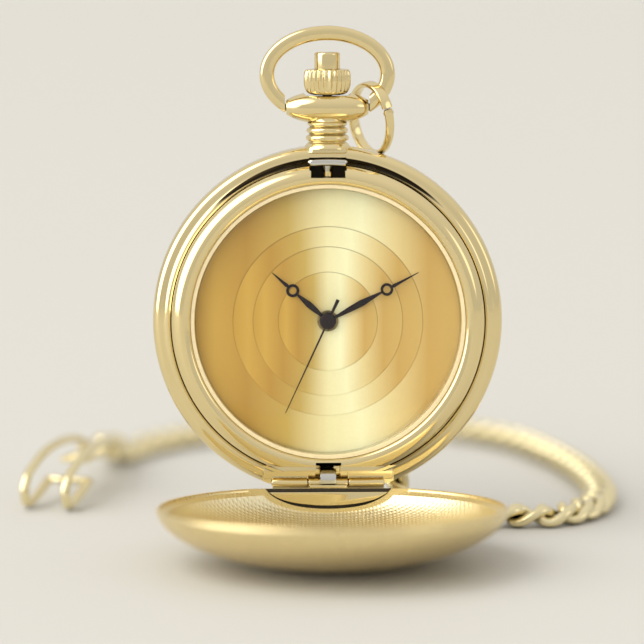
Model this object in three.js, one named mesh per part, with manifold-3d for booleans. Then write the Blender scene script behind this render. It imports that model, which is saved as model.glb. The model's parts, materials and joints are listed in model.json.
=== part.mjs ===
// A quartz hunter-case pocket watch with its front cover open, standing on its cover, and the curb chain
// that runs from its bow to a belt clip. Millimetres, +Z up.
//
// The watch is drawn in its own frame: origin at the centre of the case, the dial facing -Y, 12 o'clock at
// +Z. That group leans back about X. The chain and belt clip are drawn on the level table beside it.
// The whole object is then moved so that its origin is the centre of the case back's flat face.

import * as THREE from 'three';
import { mergeVertices } from 'three/addons/utils/BufferGeometryUtils.js';
import Module from 'manifold-3d';

const wasm = await Module();
wasm.setup();

// ---- driving dimensions ----

const LEAN = THREE.MathUtils.degToRad(3);      // the open cover props the case 3 degrees back from upright

const BAND_R = 23.5;
const BAND_BORE_R = 20.4;
const BAND_FRONT_Y = -2.1;
const BAND_SHELF_Y = -1.2;
const BAND_BACK_Y = 2.4;
const BEZEL_R = 21.1;
const BEZEL_CREST_Y = -4.65;
const CRYSTAL_SEAT_R = 18.45;
const CRYSTAL_R = 17.9;
const BACK_FLAT_R = 14;
const BACK_FACE_Y = 5.8;

const DIAL_R = 18.2;
const DIAL_FRONT_Y = -1.9;
const DIAL_STEP_RADII = [12.75, 10.06, 6.66];
const DIAL_STEP = 0.05;

const HINGE_Y = -2.0;
const HINGE_Z = -21.9;
const KNUCKLE_R = 0.8;
const HINGE_HOLE_R = 0.47;
const HINGE_PIN_R = 0.38;
const KNUCKLE_SPLIT_X = 2.78;                   // the cover's knuckle lies between the case's two
const KNUCKLE_END_X = 7.5;

const COVER_R = 23;
const COVER_DEPTH = 8;
const COVER_WALL = 0.6;
const COVER_RIM_Z = -22.45;
const COVER_CENTRE_Y = -23.9;
const COVER_CHORD = 20.3;                       // from the cover's centre to its flat hinge side

const BALL_Z = 28.6;
const BALL_HALF = { x: 6.07, y: 2.9, z: 2.25 };
const BALL_FLAT_X = 5.5;
const CROWN_R = 3.15;
const CROWN_FLUTES = 26;
const CROWN_BOTTOM_Z = 30.3;
const CROWN_CUP_Z = 31.9;
const CROWN_TOP_Z = 33.7;
const BUTTON_R = 1.7;
const BUTTON_TOP_Z = 36;
const BOW_WIRE_R = 0.95;
const BOW = { halfWidth: 8.1, halfHeight: 5.6, centreZ: 32.9 };

const TABLE_Z = -29.2;                          // below the case's centre
const LINK = { length: 6.0, width: 4.0, wire: 1.1 };
const LINK_OVERLAP = 0.14;                      // how far the links of one rigid run sink into each other
const RUN_GAP = 0.43;                           // free play where one run hooks into the next
const HANGING_LINKS = 11;
const TABLE_RUN_LINKS = 6;
const TABLE_RUNS = 8;

const GAP = 0.1;                                // between pieces that are fitted together
const ROUND = 32;                               // facets round the large rings
const SMALL = 16;                               // facets round the small turned parts

// ---- materials ----

function metal(name, color, roughness = 0.18, metalness = 1) {
  return new THREE.MeshStandardMaterial({ name, color, roughness, metalness });
}

const gold = () => metal('polished_gold', 0xd7bb7a);
const satinGold = () => metal('dial_gold', 0xc9a85c, 0.35);
const steel = () => metal('bright_steel', 0xc8c8c4, 0.25);
const darkMetal = () => metal('dark_hands', 0x3a3034, 0.4);
const brass = () => metal('movement_brass', 0xc2a35a, 0.4);
const nickel = () => metal('movement_nickel', 0xb9bab8, 0.35);
const copper = () => metal('coil_copper', 0xb0623a, 0.4);
const plastic = () => metal('movement_plastic', 0x35373b, 0.6, 0);
const board = () => metal('circuit_green', 0x2c5b3a, 0.6, 0);
const rubber = () => metal('gasket_grey', 0xc9c3b4, 0.7, 0);
const glass = () => metal('crystal_glass', 0xf3f3ee, 0.02, 0);

// ---- closed solids ----

// Merges shared vertices, drops triangles of no area and turns the faces outward.
function closed(geometry) {
  const bare = geometry.clone();
  for (const name of ['normal', 'uv']) {
    bare.deleteAttribute(name);
  }
  const merged = mergeVertices(bare, 1e-4);
  const position = merged.getAttribute('position');
  const corners = merged.index.array;
  const kept = [];
  let volume = 0;
  const a = new THREE.Vector3();
  const b = new THREE.Vector3();
  const c = new THREE.Vector3();
  for (let i = 0; i < corners.length; i += 3) {
    const [p, q, r] = [corners[i], corners[i + 1], corners[i + 2]];
    if (p === q || q === r || r === p) continue;
    kept.push(p, q, r);
    a.fromBufferAttribute(position, p);
    b.fromBufferAttribute(position, q);
    c.fromBufferAttribute(position, r);
    volume += a.dot(b.cross(c));
  }
  if (volume < 0) kept.reverse();
  merged.setIndex(kept);
  return merged;
}

function toSolid(geometry) {
  const shape = closed(geometry);
  return new wasm.Manifold(new wasm.Mesh({
    numProp: 3,
    vertProperties: new Float32Array(shape.getAttribute('position').array),
    triVerts: new Uint32Array(shape.index.array),
  }));
}

function fromSolid(solid) {
  const mesh = solid.getMesh();
  const geometry = new THREE.BufferGeometry();
  geometry.setAttribute('position', new THREE.BufferAttribute(mesh.vertProperties, 3));
  geometry.setIndex(new THREE.BufferAttribute(mesh.triVerts, 1));
  return geometry;
}

function joined(...geometries) {
  return fromSolid(geometries.map(toSolid).reduce((whole, part) => whole.add(part)));
}

function cut(geometry, ...tools) {
  return fromSolid(tools.map(toSolid).reduce((whole, tool) => whole.subtract(tool), toSolid(geometry)));
}

function piece(name, geometry, material) {
  const shape = closed(geometry);
  shape.computeVertexNormals();
  const mesh = new THREE.Mesh(shape, material);
  mesh.name = name;
  return mesh;
}

// ---- basic shapes ----

function points(list) {
  return list.map(([x, y]) => new THREE.Vector2(x, y));
}

// Turned about Y. The profile is a list of [radius, y].
function turned(profile, facets = ROUND) {
  return new THREE.LatheGeometry(points(profile), facets);
}

// Turned about Z. The profile is a list of [radius, z].
function turnedUp(profile, facets = SMALL) {
  return turned(profile, facets).rotateX(Math.PI / 2);
}

function ringProfile(inner, outer, low, high) {
  return [[inner, low], [outer, low], [outer, high], [inner, high], [inner, low]];
}

function discProfile(radius, low, high) {
  return [[0, low], [radius, low], [radius, high], [0, high]];
}

function box(x0, x1, y0, y1, z0, z1) {
  const shape = new THREE.BoxGeometry(x1 - x0, y1 - y0, z1 - z0);
  return shape.translate((x0 + x1) / 2, (y0 + y1) / 2, (z0 + z1) / 2);
}

function rodAlongX(radius, x0, x1, y, z, facets = 16) {
  const rod = new THREE.CylinderGeometry(radius, radius, x1 - x0, facets);
  return rod.rotateZ(Math.PI / 2).translate((x0 + x1) / 2, y, z);
}

function rodBetween(radius, from, to, facets = 8) {
  const span = new THREE.Vector3().subVectors(to, from);
  const rod = new THREE.CylinderGeometry(radius, radius, span.length(), facets);
  const turn = new THREE.Quaternion().setFromUnitVectors(new THREE.Vector3(0, 1, 0), span.normalize());
  return rod.applyQuaternion(turn).translate(
    (from.x + to.x) / 2, (from.y + to.y) / 2, (from.z + to.z) / 2);
}

// A flat plate in the plane of the dial: the outline's axes are X and Z, and it fills y0 to y1.
function plate(outline, y0, y1, curveSegments = 12) {
  const shape = new THREE.ExtrudeGeometry(outline, { depth: y1 - y0, bevelEnabled: false, curveSegments });
  return shape.rotateX(Math.PI / 2).translate(0, y1, 0);
}

// A plate seen from the side: the outline's axes are Y and Z, and it fills x0 to x1.
function sidePlate(outline, x0, x1) {
  const size = { depth: x1 - x0, bevelEnabled: false, curveSegments: 10 };
  const shape = new THREE.ExtrudeGeometry(outline, size);
  return shape.rotateX(Math.PI / 2).rotateZ(Math.PI / 2).translate(x0, 0, 0);
}

function roundHole(x, z, radius) {
  return new THREE.Path().absarc(x, z, radius, 0, Math.PI * 2, true);
}

function regularOutline(radius, corners) {
  const outline = new THREE.Shape();
  for (let i = 0; i < corners; i++) {
    const angle = (i + 0.5) / corners * Math.PI * 2;
    outline[i ? 'lineTo' : 'moveTo'](radius * Math.cos(angle), radius * Math.sin(angle));
  }
  outline.closePath();
  return outline;
}

// A round wire along a curve that doesn't close.
function wire(curve, radius, steps, sides = 8) {
  return new THREE.ExtrudeGeometry(regularOutline(radius, sides), {
    extrudePath: curve, steps, bevelEnabled: false,
  });
}

function smoothCurve(list) {
  return new THREE.CatmullRomCurve3(list.map(([x, y, z]) => new THREE.Vector3(x, y, z)));
}

// A closed oval ring in the XY plane, long along X: a torus pulled apart at its middle.
function ovalRing(length, width, wireWidth, around = 8, sides = 4) {
  const bend = (width - wireWidth) / 2;
  const pull = (length - width) / 2;
  const ring = new THREE.TorusGeometry(bend, wireWidth / 2, sides, around);
  const position = ring.getAttribute('position');
  for (let i = 0; i < position.count; i++) {
    const x = position.getX(i);
    const share = THREE.MathUtils.clamp(x / (bend * 0.5), -1, 1);
    position.setX(i, x + pull * share);
  }
  return ring;
}

// ---- case ----

function caseBand() {
  const ring = turned([
    [BAND_BORE_R, BAND_SHELF_Y], [BEZEL_R + GAP, BAND_SHELF_Y], [BEZEL_R + GAP, -3.15], [21.35, -2.8],
    [21.65, -2.4], [22.05, BAND_FRONT_Y], [22.9, -2.02], [23.3, -1.75], [BAND_R, -1.2],
    [BAND_R, 1.2], [23.3, 1.95], [22.9, 2.3],
    [22.4, BAND_BACK_Y], [22.3, 1.3], [BAND_BORE_R, 1.3], [BAND_BORE_R, BAND_SHELF_Y],
  ]);
  const hingeNotch = box(-8.8, 8.8, -4, -0.95, -24, -20.35);
  const coverRest = box(-12, 12, -4, -2.5, -24, -19.45);
  const springSlot = box(-1.6, 1.6, -4, 0.2, -21.4, -19);
  const catchPocket = box(-2.95, 2.95, -4, 0.7, 18.5, 22.05);
  const stemHole = turnedUp(discProfile(1.4, 18, 25));
  return piece('case_band', cut(ring, hingeNotch, coverRest, springSlot, catchPocket, stemHole), gold());
}

function caseBack() {
  return piece('case_back', turned([
    [0, 5.1], [13.8, 5.1], [17, 4.4], [19.2, 3.5], [20.1, 2.75], [20.1, 1.8], [22.2, 1.8], [22.2, 2.5],
    [21.6, 3.3], [19.6, 4.35], [17.2, 5.1], [BACK_FLAT_R, BACK_FACE_Y], [0, BACK_FACE_Y],
  ]), gold());
}

function backGasket() {
  return piece('back_gasket', turned(ringProfile(20.7, 21.8, 1.38, 1.72)), rubber());
}

function bezel() {
  const ring = turned([
    [CRYSTAL_SEAT_R, -1.3], [BEZEL_R, -1.3], [BEZEL_R, -2.4], [20.95, -3.3], [20.6, -4.1],
    [20.1, -4.55], [19.6, BEZEL_CREST_Y], [CRYSTAL_SEAT_R, -4.25], [CRYSTAL_SEAT_R, -1.3],
  ]);
  const hingeChord = box(-12, 12, -6, 0, -22, -19.45);
  const springSlot = box(-1.6, 1.6, -6, 0, -20, -19);
  const catchNotch = box(-2.5, 2.5, -6, 0, 19.35, 22);
  return piece('bezel', cut(ring, hingeChord, springSlot, catchNotch), gold());
}

function crystal() {
  return piece('crystal', turned([
    [0, -4.0], [9, -3.75], [CRYSTAL_R - 0.3, -2.95], [CRYSTAL_R, -2.95], [CRYSTAL_R, -3.95],
    [CRYSTAL_R - 0.45, -4.35], [13, -4.75], [7, -5.0], [0, -5.1],
  ]), glass());
}

function crystalGasket() {
  const section = ringProfile(CRYSTAL_R + 0.06, CRYSTAL_SEAT_R - 0.06, -4.1, -2.95);
  return piece('crystal_gasket', turned(section), rubber());
}

function dialRing() {
  return piece('dial_ring', turned([
    [17.75, -2.05], [CRYSTAL_SEAT_R - 0.06, -2.05], [CRYSTAL_SEAT_R - 0.06, -2.85],
    [18.2, -2.85], [17.75, -2.05],
  ]), steel());
}

function dial() {
  const [outer, middle, inner] = DIAL_STEP_RADII;
  const front = DIAL_FRONT_Y;
  return piece('dial', turned([
    [1.4, -1.5], [DIAL_R, -1.5], [DIAL_R, front], [outer, front], [outer, front - DIAL_STEP],
    [middle, front - DIAL_STEP], [middle, front - 2 * DIAL_STEP], [inner, front - 2 * DIAL_STEP],
    [inner, front - 3 * DIAL_STEP], [1.4, front - 3 * DIAL_STEP], [1.4, -1.5],
  ]), satinGold());
}

// ---- front cover and its hinge ----

function coverProfile(radius, depth, facets) {
  const profile = [[radius, 0]];
  for (let i = 1; i <= facets; i++) {
    const angle = i / facets * Math.PI / 2;
    profile.push([i === facets ? 0 : radius * Math.cos(angle), -depth * Math.sin(angle)]);
  }
  return profile;
}

function coverSolid(radius, depth, top) {
  return turnedUp([[0, top], ...coverProfile(radius, depth, 6)], ROUND);
}

function frontCover() {
  const outer = coverSolid(COVER_R, COVER_DEPTH, 0);
  const inner = coverSolid(COVER_R - COVER_WALL, COVER_DEPTH - COVER_WALL, 2);
  const behindChord = box(-30, 30, COVER_CHORD, 30, -20, 5);
  const shell = cut(outer, fromSolid(toSolid(inner).subtract(
    toSolid(box(-30, 30, COVER_CHORD - COVER_WALL, 30, -20, 5)))), behindChord);
  return piece('front_cover', shell.translate(0, COVER_CENTRE_Y, COVER_RIM_Z), gold());
}

function coverLeaf() {
  const wallY = COVER_CENTRE_Y + COVER_CHORD;
  const halfMoon = new THREE.Shape();
  halfMoon.moveTo(-8.5, HINGE_Z - 0.6);
  halfMoon.lineTo(8.5, HINGE_Z - 0.6);
  halfMoon.quadraticCurveTo(5, HINGE_Z - 3.3, 0, HINGE_Z - 3.3);
  halfMoon.quadraticCurveTo(-5, HINGE_Z - 3.3, -8.5, HINGE_Z - 0.6);
  const leaf = plate(halfMoon, wallY + GAP, wallY + 0.5, 5);
  const knuckle = rodAlongX(KNUCKLE_R, 0.12 - KNUCKLE_SPLIT_X, KNUCKLE_SPLIT_X - 0.12, HINGE_Y, HINGE_Z);
  const web = box(-2.5, 2.5, wallY + 0.2, HINGE_Y, HINGE_Z - 0.78, HINGE_Z - 0.15);
  const hole = rodAlongX(HINGE_HOLE_R, -4, 4, HINGE_Y, HINGE_Z);
  return piece('cover_hinge_leaf', cut(joined(leaf, web, knuckle), hole), gold());
}

function caseKnuckles() {
  const top = HINGE_Z + 1.4;
  const base = box(-8.2, 8.2, -2.35, -1.1, top - 0.4, top);
  const knuckles = [-1, 1].map((side) => {
    const near = side * KNUCKLE_SPLIT_X;
    const far = side * KNUCKLE_END_X;
    const [x0, x1] = [Math.min(near, far), Math.max(near, far)];
    const web = box(x0, x1, HINGE_Y - 0.3, HINGE_Y + 0.6, HINGE_Z, top - 0.2);
    return joined(rodAlongX(KNUCKLE_R, x0, x1, HINGE_Y, HINGE_Z), web);
  });
  const hole = rodAlongX(HINGE_HOLE_R, -9, 9, HINGE_Y, HINGE_Z);
  const springSlot = box(-2.65, 2.65, -4, -1.5, top - 1, top + 1);
  return piece('case_hinge_knuckles', cut(joined(base, ...knuckles), hole, springSlot), gold());
}

function hingePin() {
  const pin = rodAlongX(HINGE_PIN_R, -KNUCKLE_END_X, KNUCKLE_END_X, HINGE_Y, HINGE_Z, 12);
  return piece('hinge_pin', pin, steel());
}

function liftSpring() {
  const side = new THREE.Shape();
  side.moveTo(-0.9, HINGE_Z + 2.4);
  side.lineTo(-2.3, HINGE_Z + 1.9);
  side.quadraticCurveTo(-3.1, HINGE_Z + 1.4, -3.15, HINGE_Z + 0.1);
  side.lineTo(-2.9, HINGE_Z + 0.1);
  side.quadraticCurveTo(-2.85, HINGE_Z + 1.2, -2.2, HINGE_Z + 1.62);
  side.lineTo(-0.9, HINGE_Z + 2.1);
  side.closePath();
  return piece('lift_spring', sidePlate(side, -1.08, 1.08), steel());
}

// ---- latch at 12 o'clock ----

function arcStrip(inner, outer, from, to, facets = 10) {
  const outline = new THREE.Shape();
  for (let i = 0; i <= facets; i++) {
    const angle = from + (to - from) * i / facets;
    outline[i ? 'lineTo' : 'moveTo'](outer * Math.cos(angle), outer * Math.sin(angle));
  }
  for (let i = facets; i >= 0; i--) {
    const angle = from + (to - from) * i / facets;
    outline.lineTo(inner * Math.cos(angle), inner * Math.sin(angle));
  }
  outline.closePath();
  return outline;
}

function latchCatch() {
  const halfTurn = 2.35 / 21.3;
  const strip = arcStrip(20.85, 21.85, Math.PI / 2 - halfTurn, Math.PI / 2 + halfTurn, 6);
  return piece('latch_catch', plate(strip, -2.9, -0.75), steel());
}

function latchGuidePin() {
  const pin = turnedUp(discProfile(0.55, 19.42, 20.15), 12);
  return piece('latch_guide_pin', pin.translate(0, -2.6, 0), gold());
}

function latchSpring() {
  const strip = arcStrip(19.5, 19.9, THREE.MathUtils.degToRad(97), THREE.MathUtils.degToRad(148));
  return piece('latch_spring', plate(strip, -1.0, 1.0), steel());
}

// ---- pendant, crown, button and bow ----

function pendant() {
  const bore = 0.8;
  const neck = turnedUp([
    [0, 23.6], [2.85, 23.6], [2.95, 23.9], [2.6, 24.2], [2.8, 24.5], [2.8, 24.8], [2.55, 25.05],
    [2.75, 25.3], [2.75, 25.65], [2.5, 25.9], [2.65, 26.2], [2.3, 27.6], [0, 27.6],
  ], 14);
  const ball = new THREE.SphereGeometry(1, 16, 8).rotateX(Math.PI / 2);
  ball.scale(BALL_HALF.x, BALL_HALF.y, BALL_HALF.z).translate(0, 0, BALL_Z);
  const sides = [-1, 1].map((side) => box(
    Math.min(side * BALL_FLAT_X, side * 8), Math.max(side * BALL_FLAT_X, side * 8), -4, 4, 24, 34));
  const stemHole = turnedUp(discProfile(bore, 20, 34), 16);
  const bowHole = rodAlongX(0.65, -9, 9, 0, BALL_Z);
  const crownSeat = turnedUp(discProfile(CROWN_R + GAP, CROWN_BOTTOM_Z - GAP, 34));
  const solidMiddle = rodAlongX(0.75, -4.2, 4.2, 0, BALL_Z);
  const pierced = cut(joined(neck, ball), bowHole);
  return piece('pendant', cut(joined(pierced, solidMiddle), stemHole, crownSeat, ...sides), gold());
}

function crownOutline() {
  const outline = new THREE.Shape();
  const corners = CROWN_FLUTES * 2;
  for (let i = 0; i < corners; i++) {
    const angle = i / corners * Math.PI * 2;
    const radius = i % 2 ? CROWN_R - 0.2 : CROWN_R;
    outline[i ? 'lineTo' : 'moveTo'](radius * Math.cos(angle), radius * Math.sin(angle));
  }
  outline.closePath();
  return outline;
}

function crown() {
  const shoulder = CROWN_BOTTOM_Z + 0.6;
  const fluted = new THREE.ExtrudeGeometry(crownOutline(), {
    depth: CROWN_TOP_Z - shoulder, bevelEnabled: false,
  }).translate(0, 0, shoulder);
  const foot = turnedUp([
    [0, CROWN_BOTTOM_Z], [2.2, CROWN_BOTTOM_Z], [2.9, shoulder + 0.1], [0, shoulder + 0.1],
  ], 24);
  const cup = turnedUp(discProfile(BUTTON_R + GAP, CROWN_CUP_Z, CROWN_TOP_Z + 1), 24);
  const stemHole = turnedUp(discProfile(0.7, CROWN_BOTTOM_Z - 1, CROWN_TOP_Z), 12);
  return piece('crown', cut(joined(fluted, foot), cup, stemHole), gold());
}

function pushButton() {
  return piece('push_button', turnedUp([
    [0, 33], [BUTTON_R, 33], [BUTTON_R, BUTTON_TOP_Z - 0.35],
    [BUTTON_R - 0.3, BUTTON_TOP_Z], [0, BUTTON_TOP_Z],
  ]), gold());
}

class Helix extends THREE.Curve {
  constructor(radius, bottom, height, turns) {
    super();
    Object.assign(this, { radius, bottom, height, turns });
  }

  getPoint(t, target = new THREE.Vector3()) {
    const angle = t * this.turns * Math.PI * 2;
    return target.set(
      this.radius * Math.cos(angle), this.radius * Math.sin(angle), this.bottom + this.height * t);
  }
}

function buttonSpring() {
  return piece('button_spring', wire(new Helix(1.3, 32.1, 0.7, 2), 0.12, 28, 5), steel());
}

function settingStem() {
  return piece('setting_stem', turnedUp([
    [0, 10.2], [0.6, 10.2], [0.6, 10.8], [0.35, 10.8], [0.35, 11.3], [0.6, 11.3], [0.6, 31.8], [0, 31.8],
  ], 12), steel());
}

function settingLever() {
  const { degToRad } = THREE.MathUtils;
  const lever = plate(arcStrip(10.75, 11.35, degToRad(66), degToRad(94), 6), 0.72, 0.95);
  return piece('setting_lever', lever, steel());
}

class BowLine extends THREE.Curve {
  getPoint(t, target = new THREE.Vector3()) {
    const start = THREE.MathUtils.degToRad(-52);
    const angle = start + t * (Math.PI - 2 * start);
    return target.set(BOW.halfWidth * Math.cos(angle), 0, BOW.centreZ + BOW.halfHeight * Math.sin(angle));
  }
}

function bow() {
  const loop = wire(new BowLine(), BOW_WIRE_R, 26, 8);
  const ballSpace = box(-BALL_FLAT_X - 0.15, BALL_FLAT_X + 0.15, -3, 3, 25, 31.5);
  const pins = [-1, 1].map((side) => rodAlongX(
    0.5, Math.min(side * 4.5, side * 6.2), Math.max(side * 4.5, side * 6.2), 0, BALL_Z, 12));
  return piece('bow', joined(cut(loop, ballSpace), ...pins), gold());
}

// ---- hands ----

// A hand drawn pointing to 12 o'clock: hub, leaf-shaped blade, open eye and needle tip.
function eyeHand(size, y0, y1) {
  const blade = new THREE.Shape();
  const eyeLow = size.eye - size.eyeR + 0.1;
  blade.moveTo(-0.18, size.hubR - 0.15);
  blade.lineTo(-size.blade / 2, eyeLow * 0.6);
  blade.lineTo(-0.14, eyeLow);
  blade.lineTo(0.14, eyeLow);
  blade.lineTo(size.blade / 2, eyeLow * 0.6);
  blade.lineTo(0.18, size.hubR - 0.15);
  const tip = new THREE.Shape();
  const eyeHigh = size.eye + size.eyeR - 0.1;
  tip.moveTo(-0.15, eyeHigh);
  tip.lineTo(-0.27, eyeHigh + 0.35);
  tip.lineTo(-0.05, size.length);
  tip.lineTo(0.05, size.length);
  tip.lineTo(0.27, eyeHigh + 0.35);
  tip.lineTo(0.15, eyeHigh);
  const eye = new THREE.Shape().absarc(0, size.eye, size.eyeR, 0, Math.PI * 2);
  eye.holes.push(roundHole(0, size.eye + 0.1, size.eyeR * 0.62));
  const hub = turned(ringProfile(size.boreR, size.hubR, y0, y1), SMALL);
  return joined(hub, plate(blade, y0, y1), plate(tip, y0, y1), plate(eye, y0, y1, 10));
}

// Clockwise from 12 o'clock as the dial is read is a positive turn about +Y.
function setAt(geometry, degrees) {
  return geometry.rotateY(THREE.MathUtils.degToRad(degrees));
}

function hourHand() {
  const size = { length: 9.93, eye: 6.25, eyeR: 0.87, blade: 0.65, hubR: 1.15, boreR: 0.85 };
  return piece('hour_hand', setAt(eyeHand(size, -2.4, -2.25), 311), darkMetal());
}

function minuteHand() {
  const size = { length: 13.8, eye: 8.97, eyeR: 0.82, blade: 0.72, hubR: 1.1, boreR: 0.6 };
  return piece('minute_hand', setAt(eyeHand(size, -2.7, -2.55), 61.8), darkMetal());
}

function secondsHand() {
  const needle = new THREE.Shape();
  needle.moveTo(-0.06, 13.6);
  needle.lineTo(-0.16, 0);
  needle.lineTo(-0.22, -3.2);
  needle.lineTo(0.22, -3.2);
  needle.lineTo(0.16, 0);
  needle.lineTo(0.06, 13.6);
  const hub = turned(discProfile(1.1, -3.05, -2.88), SMALL);
  return piece('seconds_hand', setAt(joined(plate(needle, -3.0, -2.88), hub), 204.9), darkMetal());
}

// ---- quartz movement ----

// Centres of the wheels in the plane of the dial. Each pair of teeth stands TOOTH_GAP apart.
const TOOTH_GAP = 0.1;
const WHEEL = {
  hour: 2.35, hourPinion: 0.62, minute: 2.25, minutePinion: 0.72,
  centre: 2.75, thirdPinion: 0.38, third: 2.7, secondsPinion: 0.4,
  seconds: 2.4, stepPinion: 0.4, step: 2.0, rotorPinion: 0.35,
};

function polar(distance, degrees, from = { x: 0, z: 0 }) {
  const angle = THREE.MathUtils.degToRad(degrees);
  return { x: from.x + distance * Math.cos(angle), z: from.z + distance * Math.sin(angle) };
}

const MINUTE_WHEEL_AT = polar(WHEEL.minutePinion + WHEEL.minute + TOOTH_GAP, -60);
const THIRD_AT = polar(WHEEL.centre + WHEEL.thirdPinion + TOOTH_GAP, 20);
const STEP_AT = polar(WHEEL.seconds + WHEEL.stepPinion + TOOTH_GAP, 200);
const ROTOR_AT = polar(WHEEL.step + WHEEL.rotorPinion + TOOTH_GAP, 250, STEP_AT);

function wheelOutline(radius, teeth) {
  const outline = new THREE.Shape();
  for (let i = 0; i < teeth * 2; i++) {
    const angle = i / teeth * Math.PI;
    const reach = i % 2 ? radius * 0.93 : radius;
    outline[i ? 'lineTo' : 'moveTo'](reach * Math.cos(angle), reach * Math.sin(angle));
  }
  outline.closePath();
  return outline;
}

function wheelDisc(radius, teeth, y0, y1) {
  return plate(wheelOutline(radius, teeth), y0, y1);
}

function arbor(radius, y0, y1, facets = 10) {
  return turned(discProfile(radius, y0, y1), facets);
}

function hourWheel() {
  const body = joined(wheelDisc(WHEEL.hour, 15, -1.4, -1.15), arbor(0.8, -2.4, -1.2, 16));
  return piece('hour_wheel', cut(body, arbor(0.64, -3, 0, 16)), brass());
}

function centreWheel() {
  const body = joined(
    wheelDisc(WHEEL.centre, 16, 0.33, 0.53), arbor(0.55, -2.7, 0.75, 16),
    wheelDisc(WHEEL.minutePinion, 8, -1.05, -0.7));
  return piece('center_wheel', cut(body, arbor(0.34, -3, 1, 16)), brass());
}

function minuteWheel() {
  const body = joined(wheelDisc(WHEEL.minute, 14, -1.05, -0.85), wheelDisc(WHEEL.hourPinion, 8, -1.4, -1.0));
  return piece('minute_wheel', body.translate(MINUTE_WHEEL_AT.x, 0, MINUTE_WHEEL_AT.z), brass());
}

function thirdWheel() {
  const body = joined(
    wheelDisc(WHEEL.third, 15, 0.95, 1.15), arbor(0.2, 0.25, 2.3),
    wheelDisc(WHEEL.thirdPinion, 8, 0.3, 0.6));
  return piece('third_wheel', body.translate(THIRD_AT.x, 0, THIRD_AT.z), brass());
}

function secondsWheel() {
  const body = joined(
    wheelDisc(WHEEL.seconds, 15, 1.45, 1.65), arbor(0.24, -2.8, 2.25),
    wheelDisc(WHEEL.secondsPinion, 8, 0.9, 1.2));
  return piece('seconds_wheel', body, brass());
}

function intermediateWheel() {
  const body = joined(
    wheelDisc(WHEEL.step, 15, 1.9, 2.1), arbor(0.2, 1.1, 2.3), wheelDisc(WHEEL.stepPinion, 8, 1.4, 1.7));
  return piece('intermediate_wheel', body.translate(STEP_AT.x, 0, STEP_AT.z), brass());
}

function rotor() {
  const pinion = wheelDisc(WHEEL.rotorPinion, 8, 1.85, 2.15);
  const body = joined(arbor(0.8, 0.5, 1.2, 14), arbor(0.2, 0.35, 2.3), pinion);
  return piece('rotor', body.translate(ROTOR_AT.x, 0, ROTOR_AT.z), nickel());
}

function movementRing() {
  const ring = turned([
    [12.6, -1.4], [18.2, -1.4], [18.2, -1.15], [19.2, -1.15], [19.2, 1.6],
    [17.4, 3.0], [12.6, 3.0], [12.6, -1.4],
  ], 32);
  return piece('movement_ring', cut(ring, box(-1.2, 1.2, -3, 5, 9, 20)), plastic());
}

function mainPlate() {
  const outline = new THREE.Shape().absarc(0, 0, 12.4, 0, Math.PI * 2);
  outline.holes.push(roundHole(0, 0, 0.8));
  const stemNotch = box(-1.2, 1.2, -3, 3, 9.6, 14);
  return piece('main_plate', cut(plate(outline, -0.6, 0.15, 16), stemNotch), nickel());
}

function trainBridge() {
  const outline = new THREE.Shape().absellipse(-0.4, 0.4, 6.4, 4.4, 0, Math.PI * 2);
  return piece('train_bridge', plate(outline, 2.42, 2.95, 10), nickel());
}

function bridgeScrew(number, x, z) {
  const head = arbor(0.65, 3.03, 3.4, 12);
  const slot = box(-0.8, 0.8, 3.25, 4, -0.1, 0.1);
  return piece(`bridge_screw_${number}`, cut(head, slot).translate(x, 0, z), steel());
}

function stator() {
  const outline = new THREE.Shape();
  outline.moveTo(-9.2, -5.0);
  outline.lineTo(-1.2, -5.0);
  outline.lineTo(-1.2, -2.9);
  outline.lineTo(-2.4, -1.7);
  outline.lineTo(-4.6, -1.7);
  outline.lineTo(-9.2, -3.4);
  outline.closePath();
  outline.holes.push(roundHole(ROTOR_AT.x, ROTOR_AT.z, 1.0));
  return piece('stator', plate(outline, 0.62, 1.0, 8), nickel());
}

function coilCore() {
  return piece('coil_core', rodAlongX(0.55, -8.6, 0.2, 1.85, -7, 12), nickel());
}

function coil() {
  const winding = rodAlongX(1.5, -7.4, -1.0, 1.85, -7, 16);
  return piece('coil', cut(winding, rodAlongX(0.7, -9, 1, 1.85, -7, 12)), copper());
}

function circuitBoard() {
  const outline = new THREE.Shape();
  outline.moveTo(-8.4, 5.9);
  outline.lineTo(8.4, 5.9);
  outline.lineTo(6.4, 9.4);
  outline.lineTo(-6.4, 9.4);
  outline.closePath();
  return piece('circuit_board', plate(outline, 1.1, 1.5), board());
}

function quartzCan() {
  return piece('quartz_can', rodAlongX(0.75, -6, -1, 2.35, 7.6, 12), steel());
}

const BATTERY_AT = { x: 5.6, z: -6 };

function battery() {
  return piece('battery', turned([
    [0, 0.3], [3.0, 0.3], [3.0, 0.6], [3.4, 0.7], [3.4, 2.8], [0, 2.8],
  ], 24).translate(BATTERY_AT.x, 0, BATTERY_AT.z), steel());
}

function batteryClamp() {
  const outline = new THREE.Shape();
  outline.moveTo(BATTERY_AT.x - 4.4, BATTERY_AT.z - 0.9);
  outline.lineTo(BATTERY_AT.x + 3.6, BATTERY_AT.z - 0.9);
  outline.lineTo(BATTERY_AT.x + 3.6, BATTERY_AT.z + 0.9);
  outline.lineTo(BATTERY_AT.x - 4.4, BATTERY_AT.z + 0.9);
  outline.closePath();
  return piece('battery_clamp', plate(outline, 2.88, 3.1), brass());
}

// ---- snap hook ----

const HOOK = {
  centre: new THREE.Vector3(6.0, 2.1, 26.9),
  long: new THREE.Vector3(0.1, 0.3, -0.95).multiplyScalar(5.0),
  wide: new THREE.Vector3(0.5, -0.866, 0).multiplyScalar(4.6),
  wire: 0.42,
};

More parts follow.
